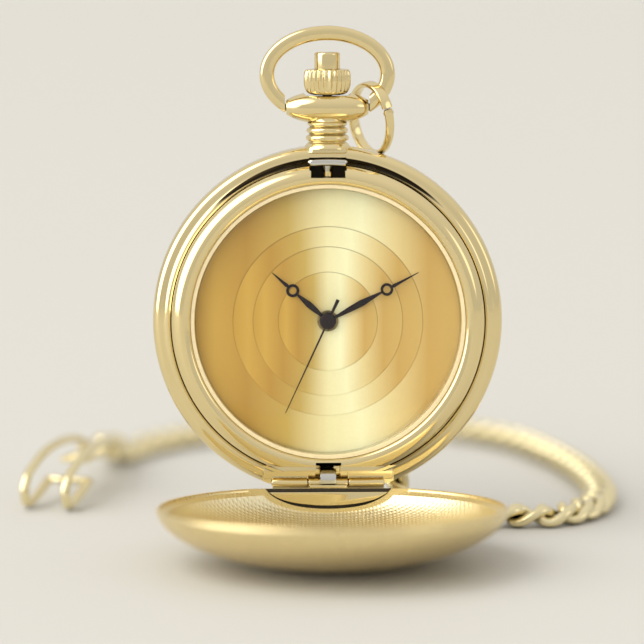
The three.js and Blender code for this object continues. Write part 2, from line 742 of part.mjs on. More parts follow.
function hookPoint(degrees) {
  const angle = THREE.MathUtils.degToRad(degrees);
  return HOOK.centre.clone()
    .addScaledVector(HOOK.long, Math.sin(angle))
    .addScaledVector(HOOK.wide, Math.cos(angle));
}

// The hook's oval runs from one angle to another: 90 is its foot, 0 its front side, 180 its back side.
function hookArc(from, to, steps) {
  const stops = Array.from({ length: steps + 1 }, (_, i) => hookPoint(from + (to - from) * i / steps));
  return wire(new THREE.CatmullRomCurve3(stops), HOOK.wire, steps, 5);
}

const EYE_AT = new THREE.Vector3(6.7, 5.3, 20.4);
const EYE_BEND_R = 1.35;

// Turns a ring drawn in the XY plane so that its X runs along the chain, then rolls it about the chain.
function ringTurn(along, roll) {
  const level = Math.hypot(along.x, along.y);
  const across = new THREE.Vector3(-along.y, along.x, 0).add(new THREE.Vector3(0, 1 - level, 0));
  across.addScaledVector(along, -across.dot(along)).normalize();
  const up = new THREE.Vector3().crossVectors(along, across);
  const basis = new THREE.Matrix4().makeBasis(along, across, up);
  const turn = new THREE.Quaternion().setFromRotationMatrix(basis);
  return turn.multiply(new THREE.Quaternion().setFromAxisAngle(new THREE.Vector3(1, 0, 0), roll));
}

const ROLL = Math.PI / 4;                       // links lean 45 degrees, each the other way from the last

function hookBody() {
  const eye = new THREE.TorusGeometry(EYE_BEND_R, 0.45, 5, 12);
  eye.applyQuaternion(ringTurn(new THREE.Vector3(0.06, 0.33, -0.94).normalize(), -ROLL));
  eye.translate(EYE_AT.x, EYE_AT.y, EYE_AT.z);
  const foot = hookPoint(92);
  const toEye = new THREE.Vector3().subVectors(EYE_AT, foot).setLength(EYE_AT.distanceTo(foot) - EYE_BEND_R);
  const post = rodBetween(0.5, foot, foot.clone().add(toEye));
  return piece('hook_body', joined(hookArc(84, 335, 16), post, eye), gold());
}

function hookGate() {
  return piece('hook_gate', hookArc(-18, 74, 6), gold());
}

// ---- chain ----

// The chain hangs behind the case, lies on the table in a wide loop to the right and comes round behind
// the watch to the belt clip on its left. Measured from the case's centre, with the table level.
const LYING_Z = TABLE_Z + 1.6;
const CHAIN_LINE = smoothCurve([
  [6.7, 6.36, 20.1], [7.2, 9.5, 12], [7.6, 9.4, 0], [8.2, 8.9, -14], [9.8, 8.2, -23.2],
  [13.2, 7.2, LYING_Z], [19, 5.2, LYING_Z], [25.4, 4.0, LYING_Z], [31.2, 4.5, LYING_Z], [36.0, 10.2, LYING_Z],
  [38.4, 19, LYING_Z], [38.5, 29, LYING_Z], [37, 42, LYING_Z], [33.8, 55.5, LYING_Z], [28.6, 69, LYING_Z],
  [19, 79, LYING_Z], [2, 82.5, LYING_Z], [-16, 75.5, LYING_Z], [-24, 67, LYING_Z], [-28.6, 58.5, LYING_Z],
  [-30, 52.5, LYING_Z + 1.7], [-30.5, 47.5, LYING_Z + 3], [-30.6, 41.3, LYING_Z + 3],
]);
CHAIN_LINE.arcLengthDivisions = 2000;
const FIRST_LINK_AT = 2.65;                     // along the line from the eye's centre

// Where each link's centre lies along the chain, run by run.
function chainRuns() {
  const runs = [];
  const tight = LINK.length - 2 * LINK.wire;
  let at = FIRST_LINK_AT;
  for (let run = 0; run <= TABLE_RUNS; run++) {
    const count = run ? TABLE_RUN_LINKS : HANGING_LINKS;
    runs.push(Array.from({ length: count }, (_, i) => at + i * (tight + LINK_OVERLAP)));
    at = runs[run][count - 1] + tight - RUN_GAP;
  }
  return runs;
}

function onChain(distance) {
  const share = distance / CHAIN_LINE.getLength();
  return { point: CHAIN_LINE.getPointAt(share), along: CHAIN_LINE.getTangentAt(share) };
}

function link(distance, number) {
  const { point, along } = onChain(distance);
  const ring = ovalRing(LINK.length, LINK.width, LINK.wire);
  ring.applyQuaternion(ringTurn(along, number % 2 ? -ROLL : ROLL));
  return ring.translate(point.x, point.y, point.z);
}

// One rigid run of links, placed by the point where it hooks into the run before it.
function chainRun(name, distances, firstNumber, joint) {
  const shape = joined(...distances.map((distance, i) => link(distance, firstNumber + i)));
  const mesh = piece(name, shape.translate(-joint.x, -joint.y, -joint.z), gold());
  mesh.position.copy(joint);
  return mesh;
}

function chain() {
  const group = new THREE.Group();
  const runs = chainRuns();
  let number = 0;
  let lastEnd = 0;
  runs.forEach((distances, run) => {
    const joint = onChain(run ? (lastEnd + distances[0]) / 2 : 0).point;
    group.add(chainRun(`chain_run_${run + 1}`, distances, number, joint));
    number += distances.length;
    lastEnd = distances[distances.length - 1];
  });
  return group;
}

// ---- belt clip ----

const CLIP_TURN = THREE.MathUtils.degToRad(-108.7);
const CLIP_WIRE_R = 0.55;
const CLIP_BAR_R = 0.42;
const CLIP_BAR_Z = 4.6;                         // the rear bar that the last link hangs on
const CLIP_REACH = 1.2;                         // from the last link's centre to the rear bar

function clipProng(side) {
  const y = side * 3;
  return wire(smoothCurve([
    [0, side * 2.2, CLIP_BAR_Z], [2.5, side * 2.8, 6.4], [7, y, 7.4], [16, y, 7.3], [21.5, y, 5.9],
    [24.2, y, 4.7], [25.2, y, 2.8], [24.2, y, 1.0], [21, y, 1.3], [15.5, y, 3.0],
  ]), CLIP_WIRE_R, 18, 5);
}

function beltClip() {
  const bar = (radius, x, halfWidth, z) => rodBetween(
    radius, new THREE.Vector3(x, -halfWidth, z), new THREE.Vector3(x, halfWidth, z), 8);
  const rearBar = bar(CLIP_BAR_R, 0, 2.7, CLIP_BAR_Z);
  const noseBar = bar(CLIP_WIRE_R, 15.6, 3, 3.0);
  return piece('belt_clip', joined(clipProng(-1), clipProng(1), rearBar, noseBar), gold());
}

const TONGUE_PIVOT = new THREE.Vector3(5.2, 0, 5.4);

function clipTongue() {
  const side = new THREE.Shape();
  side.moveTo(-2.6, -0.3);
  side.lineTo(8.2, -0.3);
  side.lineTo(8.2, 0.3);
  side.lineTo(-2.6, 0.3);
  side.closePath();
  const leaf = new THREE.ExtrudeGeometry(side, { depth: 4.2, bevelEnabled: false });
  const mesh = piece('clip_tongue', leaf.rotateX(Math.PI / 2).translate(0, 2.1, 0), gold());
  mesh.position.copy(TONGUE_PIVOT);
  return mesh;
}

function clip() {
  const runs = chainRuns();
  const lastRun = runs[runs.length - 1];
  const lastLink = onChain(lastRun[lastRun.length - 1]);
  const group = new THREE.Group();
  group.position.copy(lastLink.point).addScaledVector(lastLink.along, CLIP_REACH);
  group.position.z = TABLE_Z;
  group.rotation.z = CLIP_TURN;
  group.add(beltClip(), clipTongue());
  return group;
}

// ---- assembly ----

const watch = new THREE.Group();
watch.rotation.x = -LEAN;
watch.add(
  caseBand(), caseBack(), backGasket(), bezel(), crystal(), crystalGasket(), dialRing(), dial(),
  frontCover(), coverLeaf(), caseKnuckles(), hingePin(), liftSpring(),
  latchCatch(), latchGuidePin(), latchSpring(),
  pendant(), crown(), pushButton(), buttonSpring(), settingStem(), settingLever(), bow(),
  hourHand(), minuteHand(), secondsHand(),
  hourWheel(), minuteWheel(), centreWheel(), thirdWheel(), secondsWheel(), intermediateWheel(), rotor(),
  movementRing(), mainPlate(), trainBridge(), bridgeScrew(1, -4.6, 1.6), bridgeScrew(2, 4.4, -1.2),
  stator(), coilCore(), coil(), circuitBoard(), quartzCan(), battery(), batteryClamp(),
  hookBody(), hookGate(),
);

const object = new THREE.Group();
object.add(watch, chain(), clip());
const backFace = new THREE.Vector3(0, BACK_FACE_Y, 0).applyEuler(watch.rotation);
object.position.copy(backFace).negate();

const pocketWatch = new THREE.Group();
pocketWatch.add(object);

export default pocketWatch;
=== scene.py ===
"""Looks for the quartz hunter-case pocket watch: finely modelled pieces that ride on the CAD bodies.

Lengths are millimetres. The watch's own frame has its origin at the centre of the case, the dial facing -Y
and 12 o'clock at +Z. The chain and the belt clip are drawn level, relative to the same centre.
"""
import json
import math

import bmesh
import bpy
import numpy as np
from mathutils import Matrix, Vector


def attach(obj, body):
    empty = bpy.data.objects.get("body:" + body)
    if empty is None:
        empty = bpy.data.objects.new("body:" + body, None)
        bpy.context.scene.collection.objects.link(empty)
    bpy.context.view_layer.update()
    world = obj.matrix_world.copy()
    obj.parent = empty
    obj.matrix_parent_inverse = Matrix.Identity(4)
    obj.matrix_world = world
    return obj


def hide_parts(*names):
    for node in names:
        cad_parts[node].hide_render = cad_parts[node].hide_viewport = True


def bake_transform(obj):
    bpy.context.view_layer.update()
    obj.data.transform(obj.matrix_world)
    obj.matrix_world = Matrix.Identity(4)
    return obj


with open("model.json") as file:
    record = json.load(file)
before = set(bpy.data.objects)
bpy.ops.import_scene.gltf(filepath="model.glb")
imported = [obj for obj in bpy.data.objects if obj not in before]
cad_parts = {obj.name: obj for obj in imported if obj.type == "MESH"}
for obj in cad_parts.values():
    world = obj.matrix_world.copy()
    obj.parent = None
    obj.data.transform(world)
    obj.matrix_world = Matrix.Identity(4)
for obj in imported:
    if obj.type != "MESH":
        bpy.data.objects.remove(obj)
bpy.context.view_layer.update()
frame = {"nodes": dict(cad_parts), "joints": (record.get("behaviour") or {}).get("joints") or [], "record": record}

MM = 0.001
JOINTS = {j["name"]: j for j in frame["joints"]}
CENTRE = Vector(JOINTS["seconds_turn"]["pos_m"])
DIAL_AXIS = Vector(JOINTS["seconds_turn"]["axis"])
RIGHT = Vector((1, 0, 0))


def basis(x, y, z, origin):
    m = Matrix((x, y, z)).transposed().to_4x4()
    m.translation = origin
    return m


WATCH = basis(RIGHT, DIAL_AXIS, RIGHT.cross(DIAL_AXIS), CENTRE)
LEVEL = Matrix.Translation(CENTRE)


def watch_at(x, y, z):
    """The watch's frame, moved to a point of it in millimetres."""
    return WATCH @ Matrix.Translation(Vector((x, y, z)) * MM)


TABLE_Z = -29.2           # below the case's centre
FLOOR_Z = TABLE_Z * MM + CENTRE.z

HINGE = (0.0, -2.0, -21.9)
KNUCKLE_R = 0.8
COVER_CENTRE = (0.0, -23.9, -22.45)
COVER_CHORD = 20.3        # from the cover's centre to its flat hinge side
BALL_Z = 28.6             # the pendant ball's centre

CASE_SEGMENTS = 256       # round the case's large rings
DOME_ANGLES = (35, 62, 82)  # where a rounded end has its rings
TINY = 1e-6


# ---- meshes ----

def mesh(name, verts, faces, place=WATCH, smooth=30.0):
    """A mesh from millimetre points, with its faces turned outward. Edges above smooth degrees stay sharp."""
    data = bpy.data.meshes.new(name)
    data.from_pydata([tuple(v) for v in verts], [], [tuple(f) for f in faces])
    work = bmesh.new()
    work.from_mesh(data)
    bmesh.ops.recalc_face_normals(work, faces=work.faces)
    work.to_mesh(data)
    work.free()
    obj = bpy.data.objects.new(name, data)
    bpy.context.scene.collection.objects.link(obj)
    data.transform(place @ Matrix.Scale(MM, 4))
    shade(obj, smooth)
    return obj


def shade(obj, degrees=30.0):
    data = obj.data
    data.polygons.foreach_set("use_smooth", [True] * len(data.polygons))
    data.set_sharp_from_angle(angle=math.radians(degrees))
    data.update()


def join(name, *objs):
    """Makes one piece of several meshes that keep their own surfaces."""
    data = bpy.data.meshes.new(name)
    work = bmesh.new()
    for obj in objs:
        work.from_mesh(obj.data)
        bpy.data.objects.remove(obj)
    work.to_mesh(data)
    work.free()
    merged = bpy.data.objects.new(name, data)
    bpy.context.scene.collection.objects.link(merged)
    return merged


def boolean(obj, operation, *tools):
    """Subtracts from obj, or keeps only what is common, and bakes the result into its mesh."""
    for tool in tools:
        step = obj.modifiers.new("cut", "BOOLEAN")
        step.operation = operation
        step.solver = "EXACT"
        step.object = tool
    bpy.context.view_layer.update()
    baked = bpy.data.meshes.new_from_object(obj.evaluated_get(bpy.context.evaluated_depsgraph_get()))
    obj.modifiers.clear()
    obj.data = baked
    for tool in tools:
        bpy.data.objects.remove(tool)
    shade(obj)
    return obj


def cut(obj, *tools):
    return boolean(obj, "DIFFERENCE", *tools)


def box(x0, x1, y0, y1, z0, z1, bevel=0.0, place=WATCH):
    """A block with rounded edges if bevel is above 0."""
    work = bmesh.new()
    bmesh.ops.create_cube(work, size=1.0)
    for v in work.verts:
        v.co = Vector(((x0 + x1) / 2 + v.co.x * (x1 - x0), (y0 + y1) / 2 + v.co.y * (y1 - y0),
                       (z0 + z1) / 2 + v.co.z * (z1 - z0)))
    if bevel:
        bmesh.ops.bevel(work, geom=work.edges[:], offset=bevel, segments=3, profile=0.5, affect="EDGES")
    verts = [v.co[:] for v in work.verts]
    faces = [[v.index for v in f.verts] for f in work.faces]
    work.free()
    return mesh("box", verts, faces, place)


def fillet(points, radius=0.12, steps=4, closed=False):
    """Rounds the corners of a polyline of (r, h) or (r, h, own radius)."""
    out = []
    last = len(points) - 1
    for i, p in enumerate(points):
        size = p[2] if len(p) > 2 else radius
        corner = Vector(p[:2])
        if size <= 0 or (not closed and i in (0, last)):
            out.append(tuple(corner))
            continue
        back = Vector(points[i - 1][:2]) - corner
        ahead = Vector(points[(i + 1) % len(points)][:2]) - corner
        reach = min(size, 0.45 * back.length, 0.45 * ahead.length)
        a, b = corner + back.normalized() * reach, corner + ahead.normalized() * reach
        for k in range(steps + 1):
            t = k / steps
            out.append(tuple(a * (1 - t) ** 2 + corner * 2 * t * (1 - t) + b * t * t))
    return out


def curve(points, steps):
    """A smooth line through points (centripetal Catmull-Rom), as an array."""
    pts = [np.array(p, float) for p in points]
    pts = [2 * pts[0] - pts[1]] + pts + [2 * pts[-1] - pts[-2]]
    out = []
    for p0, p1, p2, p3 in zip(pts, pts[1:], pts[2:], pts[3:]):
        d0, d1, d2 = (max(np.linalg.norm(b - a), TINY) ** 0.5
                      for a, b in ((p0, p1), (p1, p2), (p2, p3)))
        m1 = ((p1 - p0) / d0 - (p2 - p0) / (d0 + d1) + (p2 - p1) / d1) * d1
        m2 = ((p2 - p1) / d1 - (p3 - p1) / (d1 + d2) + (p3 - p2) / d2) * d1
        for k in range(steps):
            t = k / steps
            out.append((2 * t ** 3 - 3 * t * t + 1) * p1 + (t ** 3 - 2 * t * t + t) * m1
                       + (3 * t * t - 2 * t ** 3) * p2 + (t ** 3 - t * t) * m2)
    out.append(pts[-2])
    return np.array(out)


def lathe(name, profile, axis="y", segments=192, place=WATCH, smooth=30.0, ripple=None):
    """Turns an (r, h) profile about the dial axis (y) or the stem axis (z). A profile that starts and ends
    on the axis makes a solid; any other is a closed ring. ripple(r, h, angle) may change the radius."""
    solid = profile[0][0] < TINY and profile[-1][0] < TINY
    rings = profile[1:-1] if solid else profile
    verts, faces = [], []
    for r, h in rings:
        for k in range(segments):
            a = 2 * math.pi * k / segments
            reach = ripple(r, h, a) if ripple else r
            x, s = reach * math.sin(a), reach * math.cos(a)
            verts.append((x, h, s) if axis == "y" else (s, x, h))
    count = len(rings)
    for i in range(count if not solid else count - 1):
        j = (i + 1) % count
        for k in range(segments):
            n = (k + 1) % segments
            faces.append((i * segments + k, i * segments + n, j * segments + n, j * segments + k))
    if solid:
        for ring, h in ((0, profile[0][1]), (count - 1, profile[-1][1])):
            verts.append((0, h, 0) if axis == "y" else (0, 0, h))
            for k in range(segments):
                faces.append((ring * segments + k, ring * segments + (k + 1) % segments, len(verts) - 1))
    return mesh(name, verts, faces, place, smooth)


def superellipse(half_u, half_v, power, count):
    """A section between an ellipse (power 2) and a rectangle (high powers)."""
    out = []
    for k in range(count):
        a = 2 * math.pi * k / count
        c, s = math.cos(a), math.sin(a)
        out.append((half_u * math.copysign(abs(c) ** (2 / power), c),
                    half_v * math.copysign(abs(s) ** (2 / power), s)))
    return out


def sweep(name, path, section, up, closed=False, place=WATCH, dome=0.0):
    """Runs a closed section along a path. up is the section's second direction: one vector, or one per
    point. dome rounds the ends."""
    path = np.array(path, float)
    n = len(path)
    if closed:
        tangent = np.roll(path, -1, 0) - np.roll(path, 1, 0)
    else:
        tangent = np.gradient(path, axis=0)
    tangent /= np.linalg.norm(tangent, axis=1)[:, None]
    up = np.array(up, float)
    if up.ndim == 1:
        up = np.tile(up, (n, 1))
    v = up - tangent * np.sum(up * tangent, 1)[:, None]
    v /= np.linalg.norm(v, axis=1)[:, None]
    u = np.cross(v, tangent)
    stations = [(path[i], u[i], v[i], 1.0) for i in range(n)]
    if dome and not closed:
        for angle in DOME_ANGLES:
            scale, reach = math.cos(math.radians(angle)), dome * math.sin(math.radians(angle))
            stations.append((path[-1] + tangent[-1] * reach, u[-1], v[-1], scale))
            stations.insert(0, (path[0] - tangent[0] * reach, u[0], v[0], scale))
    m = len(section)
    verts = [p + a * su * s + b * sv * s for p, a, b, s in stations for su, sv in section]
    faces = []
    for i in range(len(stations) if closed else len(stations) - 1):
        j = (i + 1) % len(stations)
        for k in range(m):
            q = (k + 1) % m
            faces.append((i * m + k, i * m + q, j * m + q, j * m + k))
    if not closed:
        faces.append(tuple(range(m)))
        faces.append(tuple((len(stations) - 1) * m + k for k in range(m)))
    return mesh(name, verts, faces, place, 40)


def rod(name, radius, start, end, bevel=0.08, segments=32, place=WATCH):
    """A round bar with softened ends."""
    start, end = np.array(start, float), np.array(end, float)
    way = end - start
    length = np.linalg.norm(way)
    way = way / length
    side = np.cross(way, (0, 0, 1) if abs(way[2]) < 0.9 else (1, 0, 0))
    nip = bevel * 0.3
    profile = [(radius - bevel, 0), (radius - nip, nip), (radius, bevel),
               (radius, length - bevel), (radius - nip, length - nip), (radius - bevel, length)]
    side /= np.linalg.norm(side)
    other = np.cross(way, side)
    verts = [start + way * h + side * r * math.cos(a) + other * r * math.sin(a)
             for r, h in profile for a in (2 * math.pi * k / segments for k in range(segments))]
    faces = [(i * segments + k, i * segments + (k + 1) % segments,
              (i + 1) * segments + (k + 1) % segments, (i + 1) * segments + k)
             for i in range(len(profile) - 1) for k in range(segments)]
    faces.append(tuple(range(segments)))
    faces.append(tuple((len(profile) - 1) * segments + k for k in range(segments)))
    return mesh(name, verts, faces, place, 30)


def slab(name, outline, y0, y1, bevel=0.0, place=WATCH):
    """A flat plate in the dial plane from an (x, z) outline."""
    work = bmesh.new()
    low = [work.verts.new((x, y0, z)) for x, z in outline]
    face = work.faces.new(low)
    grown = bmesh.ops.extrude_face_region(work, geom=[face])
    for v in (g for g in grown["geom"] if isinstance(g, bmesh.types.BMVert)):
        v.co.y = y1
    if bevel:
        rims = [e for e in work.edges if abs(e.verts[0].co.y - e.verts[1].co.y) < TINY]
        bmesh.ops.bevel(work, geom=rims, offset=bevel, segments=2, profile=0.5, affect="EDGES")
    work.verts.ensure_lookup_table()
    work.verts.index_update()
    verts = [v.co[:] for v in work.verts]
    faces = [[v.index for v in f.verts] for f in work.faces]
    work.free()
    return mesh(name, verts, faces, place, 30)


# ---- materials ----

def linear(r, g, b):
    """A given colour, in the linear values that shaders take."""
    return tuple(c / 12.92 if c <= 0.04045 else ((c + 0.055) / 1.055) ** 2.4 for c in (r, g, b)) + (1,)


class Nodes:
    """Short ways to make and wire the shader nodes of a material or a world."""

    def __init__(self, owner):
        self.owner = owner
        owner.use_nodes = True
        self.tree = owner.node_tree
        self.tree.nodes.clear()

    def add(self, kind, inputs=None, **settings):
        node = self.tree.nodes.new("ShaderNode" + kind)
        for key, value in settings.items():
            setattr(node, key, value)
        for key, value in (inputs or {}).items():
            if isinstance(value, bpy.types.NodeSocket):
                self.tree.links.new(value, node.inputs[key])
            else:
                node.inputs[key].default_value = value
        return node

    def place(self):
        return self.add("TexCoord").outputs["Object"]

    def noise(self, scale, detail=3.0, vector=None):
        return self.add("TexNoise", {"Vector": vector or self.place(), "Scale": scale, "Detail": detail}
                        ).outputs["Fac"]

    def spread(self, value, low, high, start=0.0, end=1.0):
        return self.add("MapRange", {"Value": value, "From Min": start, "From Max": end,
                                     "To Min": low, "To Max": high}).outputs["Result"]

    def ramp(self, value, *stops):
        node = self.add("ValToRGB", {"Fac": value})
        points = node.color_ramp.elements
        while len(points) > 1:
            points.remove(points[-1])
        for i, (at, color) in enumerate(stops):
            point = points[0] if i == 0 else points.new(at)
            point.position = at
            point.color = color
        return node.outputs["Color"]

    def mix(self, share, a, b):
        node = self.add("Mix", data_type="RGBA")
        for key, value in (("Factor", share), ("A", a), ("B", b)):
            slot = next(s for s in node.inputs if s.name == key
                        and s.type == ("VALUE" if key == "Factor" else "RGBA"))
            if isinstance(value, bpy.types.NodeSocket):
                self.tree.links.new(value, slot)
            else:
                slot.default_value = value
        return next(s for s in node.outputs if s.type == "RGBA")

    def math(self, operation, a, b=0.0):
        node = self.add("Math", operation=operation)
        for slot, value in zip(node.inputs, (a, b)):
            if isinstance(value, bpy.types.NodeSocket):
                self.tree.links.new(value, slot)
            else:
                slot.default_value = value
        return node.outputs["Value"]

    def bump(self, height, distance, strength=1.0, normal=None):
        inputs = {"Height": height, "Distance": distance, "Strength": strength}
        if normal is not None:
            inputs["Normal"] = normal
        return self.add("Bump", inputs).outputs["Normal"]

    def finish(self, shader):
        out = self.add("OutputMaterial")
        self.tree.links.new(shader, out.inputs["Surface"])
        return self.owner


def new_material(name):
    return Nodes(bpy.data.materials.new(name))


PAINTED_REFLECTION_FADE = (22.3, 22.7)  # the radii between which the dark reflection painted on the band's inner edge ends


def metal(name, color, rough=0.08, crevice_shade=linear(0.20, 0.16, 0.08), crevice_shade_reach=0.7, pattern=None,
          painted_reflection=None):
    """Polished plate: slow waviness, fine wear in the roughness, and painted shade that darkens the base colour
    within a given reach in millimetres of other surfaces. Given two angles, it also paints a dark reflection,
    as of a card overhead, into the base colour of the case's inner edge, from its inner to its outer degrees."""
    n = new_material(name)
    where = n.place()
    wear = n.noise(2600, 6, where)
    cloud = n.noise(180, 2, where)
    # painted shade: ambient occlusion darkens the base colour towards the shade colour near other surfaces
    gap = n.add("AmbientOcclusion", {"Distance": crevice_shade_reach * MM}, samples=6).outputs["AO"]
    tone = n.mix(cloud, color, tuple(c * 0.94 for c in color[:3]) + (1,))
    tone = n.mix(n.spread(gap, 1.0, 0.0, 0.12, 0.62), tone, crevice_shade)
    # painted reflection: the base colour turns dark where the reflected ray rises between the given angles, fading
    # out between the given radii
    if painted_reflection:
        height = n.add("SeparateXYZ", {"Vector": n.add("TexCoord").outputs["Reflection"]}).outputs["Z"]
        inner, outer = (math.cos(math.radians(a)) for a in painted_reflection)
        centred = n.add("VectorMath", {0: where, 1: tuple(CENTRE)}, operation="SUBTRACT").outputs["Vector"]
        level = n.add("VectorMath", {0: centred, 1: (1.0, 0.0, 1.0)}, operation="MULTIPLY").outputs["Vector"]
        radius = n.add("VectorMath", {0: level}, operation="LENGTH").outputs["Value"]
        under = n.math("MULTIPLY", n.spread(height, 0.0, 1.0, outer, inner),
                       n.spread(radius, 1.0, 0.0, PAINTED_REFLECTION_FADE[0] * MM, PAINTED_REFLECTION_FADE[1] * MM))
        tone = n.mix(under, tone, linear(0.13, 0.10, 0.05))
    roughness = n.spread(wear, rough * 0.85, rough * 1.25, 0.35, 0.7)
    normal = n.bump(n.noise(420, 1.5, where), 0.00002, 0.10)
    normal = n.bump(wear, 0.000006, 0.12, normal)
    if pattern:
        normal = n.bump(pattern(n, where), 0.00006, 0.6, normal)
    shader = n.add("BsdfPrincipled", {"Base Color": tone, "Metallic": 1.0, "Roughness": roughness,
                                      "Normal": normal})
    return n.finish(shader.outputs["BSDF"])


def woven(n, where):
    """A fine crossed engine-turned pattern, as a height."""
    lines = [n.add("TexWave", {"Vector": where, "Scale": 620.0, "Distortion": 0.6, "Detail": 1.0},
                   bands_direction=way).outputs["Fac"] for way in ("X", "Y")]
    return n.math("MULTIPLY", *lines)


def plastic(name, color, rough):
    """Moulded or painted surface with a fine grain."""
    n = new_material(name)
    grain = n.noise(1800, 4)
    tone = n.mix(grain, color, tuple(c * 0.8 for c in color[:3]) + (1,))
    shader = n.add("BsdfPrincipled", {"Base Color": tone,
                                      "Roughness": n.spread(grain, rough * 0.8, rough * 1.2),
                                      "Normal": n.bump(grain, 0.00002, 0.3)})
    return n.finish(shader.outputs["BSDF"])


def crystal_glass():
    """Clear glass as a thin skin: it lets the dial through, and its outer side reflects by angle."""
    n = new_material("crystal_glass")
    clear = n.add("BsdfTransparent", {"Color": (0.985, 0.985, 0.975, 1)})
    smear = n.noise(90, 4)
    gloss = n.add("BsdfGlossy", {"Color": (1, 1, 1, 1), "Roughness": n.spread(smear, 0.01, 0.09, 0.4, 0.75)})
    outer_side = n.math("SUBTRACT", 1.0, n.add("NewGeometry").outputs["Backfacing"])
    edge = n.math("MULTIPLY", n.add("Fresnel", {"IOR": 1.4}).outputs["Fac"], outer_side)
    blend = n.add("MixShader", {"Fac": edge})
    n.tree.links.new(clear.outputs[0], blend.inputs[1])
    n.tree.links.new(gloss.outputs[0], blend.inputs[2])
    return n.finish(blend.outputs[0])


DIAL_RADII = (6.66, 10.06, 12.75, 18.2)
DIAL_TONES = (
    (0.0, linear(0.76, 0.60, 0.24)), (0.08, linear(0.80, 0.645, 0.29)), (0.2, linear(0.72, 0.56, 0.235)),
    (0.35, linear(0.765, 0.655, 0.345)), (0.5, linear(0.925, 0.90, 0.715)),
    (0.625, linear(0.95, 0.945, 0.785)), (0.74, linear(0.885, 0.815, 0.59)),
    (0.87, linear(0.78, 0.64, 0.35)), (1.0, linear(0.80, 0.68, 0.40)))


def dial_gold():
    """Each ring of the dial carries the same sweep of tone, stretched to its own width: amber at the sides
    and pale just right of the middle."""
    n = new_material("dial_gold")
    spot = n.add("SeparateXYZ", {"Vector": n.add("VectorMath", {0: n.place(), 1: tuple(CENTRE)},
                                                operation="SUBTRACT").outputs["Vector"]})
    x = n.math("DIVIDE", spot.outputs["X"], MM)
    z = n.math("DIVIDE", spot.outputs["Z"], MM)
    radius = n.math("SQRT", n.math("ADD", n.math("MULTIPLY", x, x), n.math("MULTIPLY", z, z)))
    tone = None
    inner = 0.0
    for ring in DIAL_RADII:
        share = n.math("ADD", n.math("DIVIDE", x, 2 * ring), 0.5)
        sweep_tone = n.ramp(share, *DIAL_TONES)
        if tone is None:
            tone = sweep_tone
        else:
            tone = n.mix(n.math("GREATER_THAN", radius, inner), tone, sweep_tone)
        inner = ring
    line = None
    for ring in DIAL_RADII[:3]:
        near = n.spread(n.math("ABSOLUTE", n.math("SUBTRACT", radius, ring)), 1.0, 0.0, 0.02, 0.085)
        line = near if line is None else n.math("MAXIMUM", line, near)
    line = n.math("MULTIPLY", line, n.spread(z, 0.05, 0.62, -9.0, 9.0))
    tone = n.mix(line, tone, linear(0.36, 0.27, 0.11))
    grain = n.noise(2400, 5)
    tone = n.mix(n.spread(grain, 0.0, 0.10), tone, linear(0.62, 0.5, 0.28))
    shader = n.add("BsdfPrincipled", {"Base Color": tone, "Metallic": 0.25, "Roughness": 0.42,
                                      "Normal": n.bump(grain, 0.00001, 0.1)})
    return n.finish(shader.outputs["BSDF"])


def floor_matt():
    """Pale matt paper."""
    n = new_material("floor_matt")
    cloud = n.spread(n.noise(6, 2), 0.3, 0.7)
    tone = n.mix(cloud, linear(0.775, 0.768, 0.745), linear(0.765, 0.755, 0.725))
    shader = n.add("BsdfPrincipled", {"Base Color": tone, "Roughness": 0.6, "Specular IOR Level": 0.15,
                                      "Normal": n.bump(n.noise(900, 4), 0.00005, 0.1)})
    return n.finish(shader.outputs["BSDF"])


PLATE = (0.83, 0.685, 0.37, 1)
# every metal below paints shade into its base colour near other surfaces
GOLD = metal("polished_gold", PLATE)
# the band also has a dark reflection painted on its inner edge
BAND_GOLD = metal("band_gold", PLATE, crevice_shade_reach=0.25, painted_reflection=(44, 51))
BEZEL_GOLD = metal("bezel_gold", PLATE, crevice_shade_reach=0.25)
CHAIN_GOLD = metal("chain_gold", (0.87, 0.76, 0.46, 1), rough=0.14, crevice_shade_reach=0.9)
COVER_INNER = metal("cover_inner", (0.92, 0.82, 0.54, 1), rough=0.36, pattern=woven, crevice_shade_reach=0.05)
COVER_GOLD = metal("cover_gold", PLATE, rough=0.3)
STEEL = metal("bright_steel", (0.66, 0.65, 0.60, 1), rough=0.14, crevice_shade=linear(0.12, 0.11, 0.09))
BRASS = metal("movement_brass", (0.62, 0.47, 0.2, 1), rough=0.3)
NICKEL = metal("movement_nickel", (0.55, 0.55, 0.53, 1), rough=0.3, crevice_shade=linear(0.1, 0.1, 0.1))
COPPER = metal("coil_copper", (0.5, 0.22, 0.1, 1), rough=0.35)
HANDS = metal("dark_hands", linear(0.19, 0.16, 0.175), rough=0.35, crevice_shade=linear(0.12, 0.1, 0.1))
SHADOW = plastic("shadow_line", linear(0.16, 0.13, 0.07), 0.7)
DARK = plastic("movement_plastic", linear(0.13, 0.12, 0.11), 0.6)
BOARD = plastic("circuit_board", linear(0.17, 0.36, 0.23), 0.45)
SEAL = plastic("gasket", linear(0.90, 0.83, 0.66), 0.35)
GLASS = crystal_glass()
DIAL = dial_gold()
FINISH = {"polished_gold": GOLD, "dial_gold": DIAL, "bright_steel": STEEL, "dark_hands": HANDS,
          "movement_brass": BRASS, "movement_nickel": NICKEL, "coil_copper": COPPER,
          "movement_plastic": DARK, "circuit_board": BOARD, "gasket": SEAL, "crystal_glass": GLASS}
SLOTS = {row["node"]: row["material_slot"] for row in frame["record"]["subparts"]}
BODY = {node: body for body, nodes in frame["record"]["behaviour"]["bodies"].items() for node in nodes}

for node, obj in frame["nodes"].items():
    obj.data.materials.clear()
    obj.data.materials.append(FINISH[SLOTS[node]])


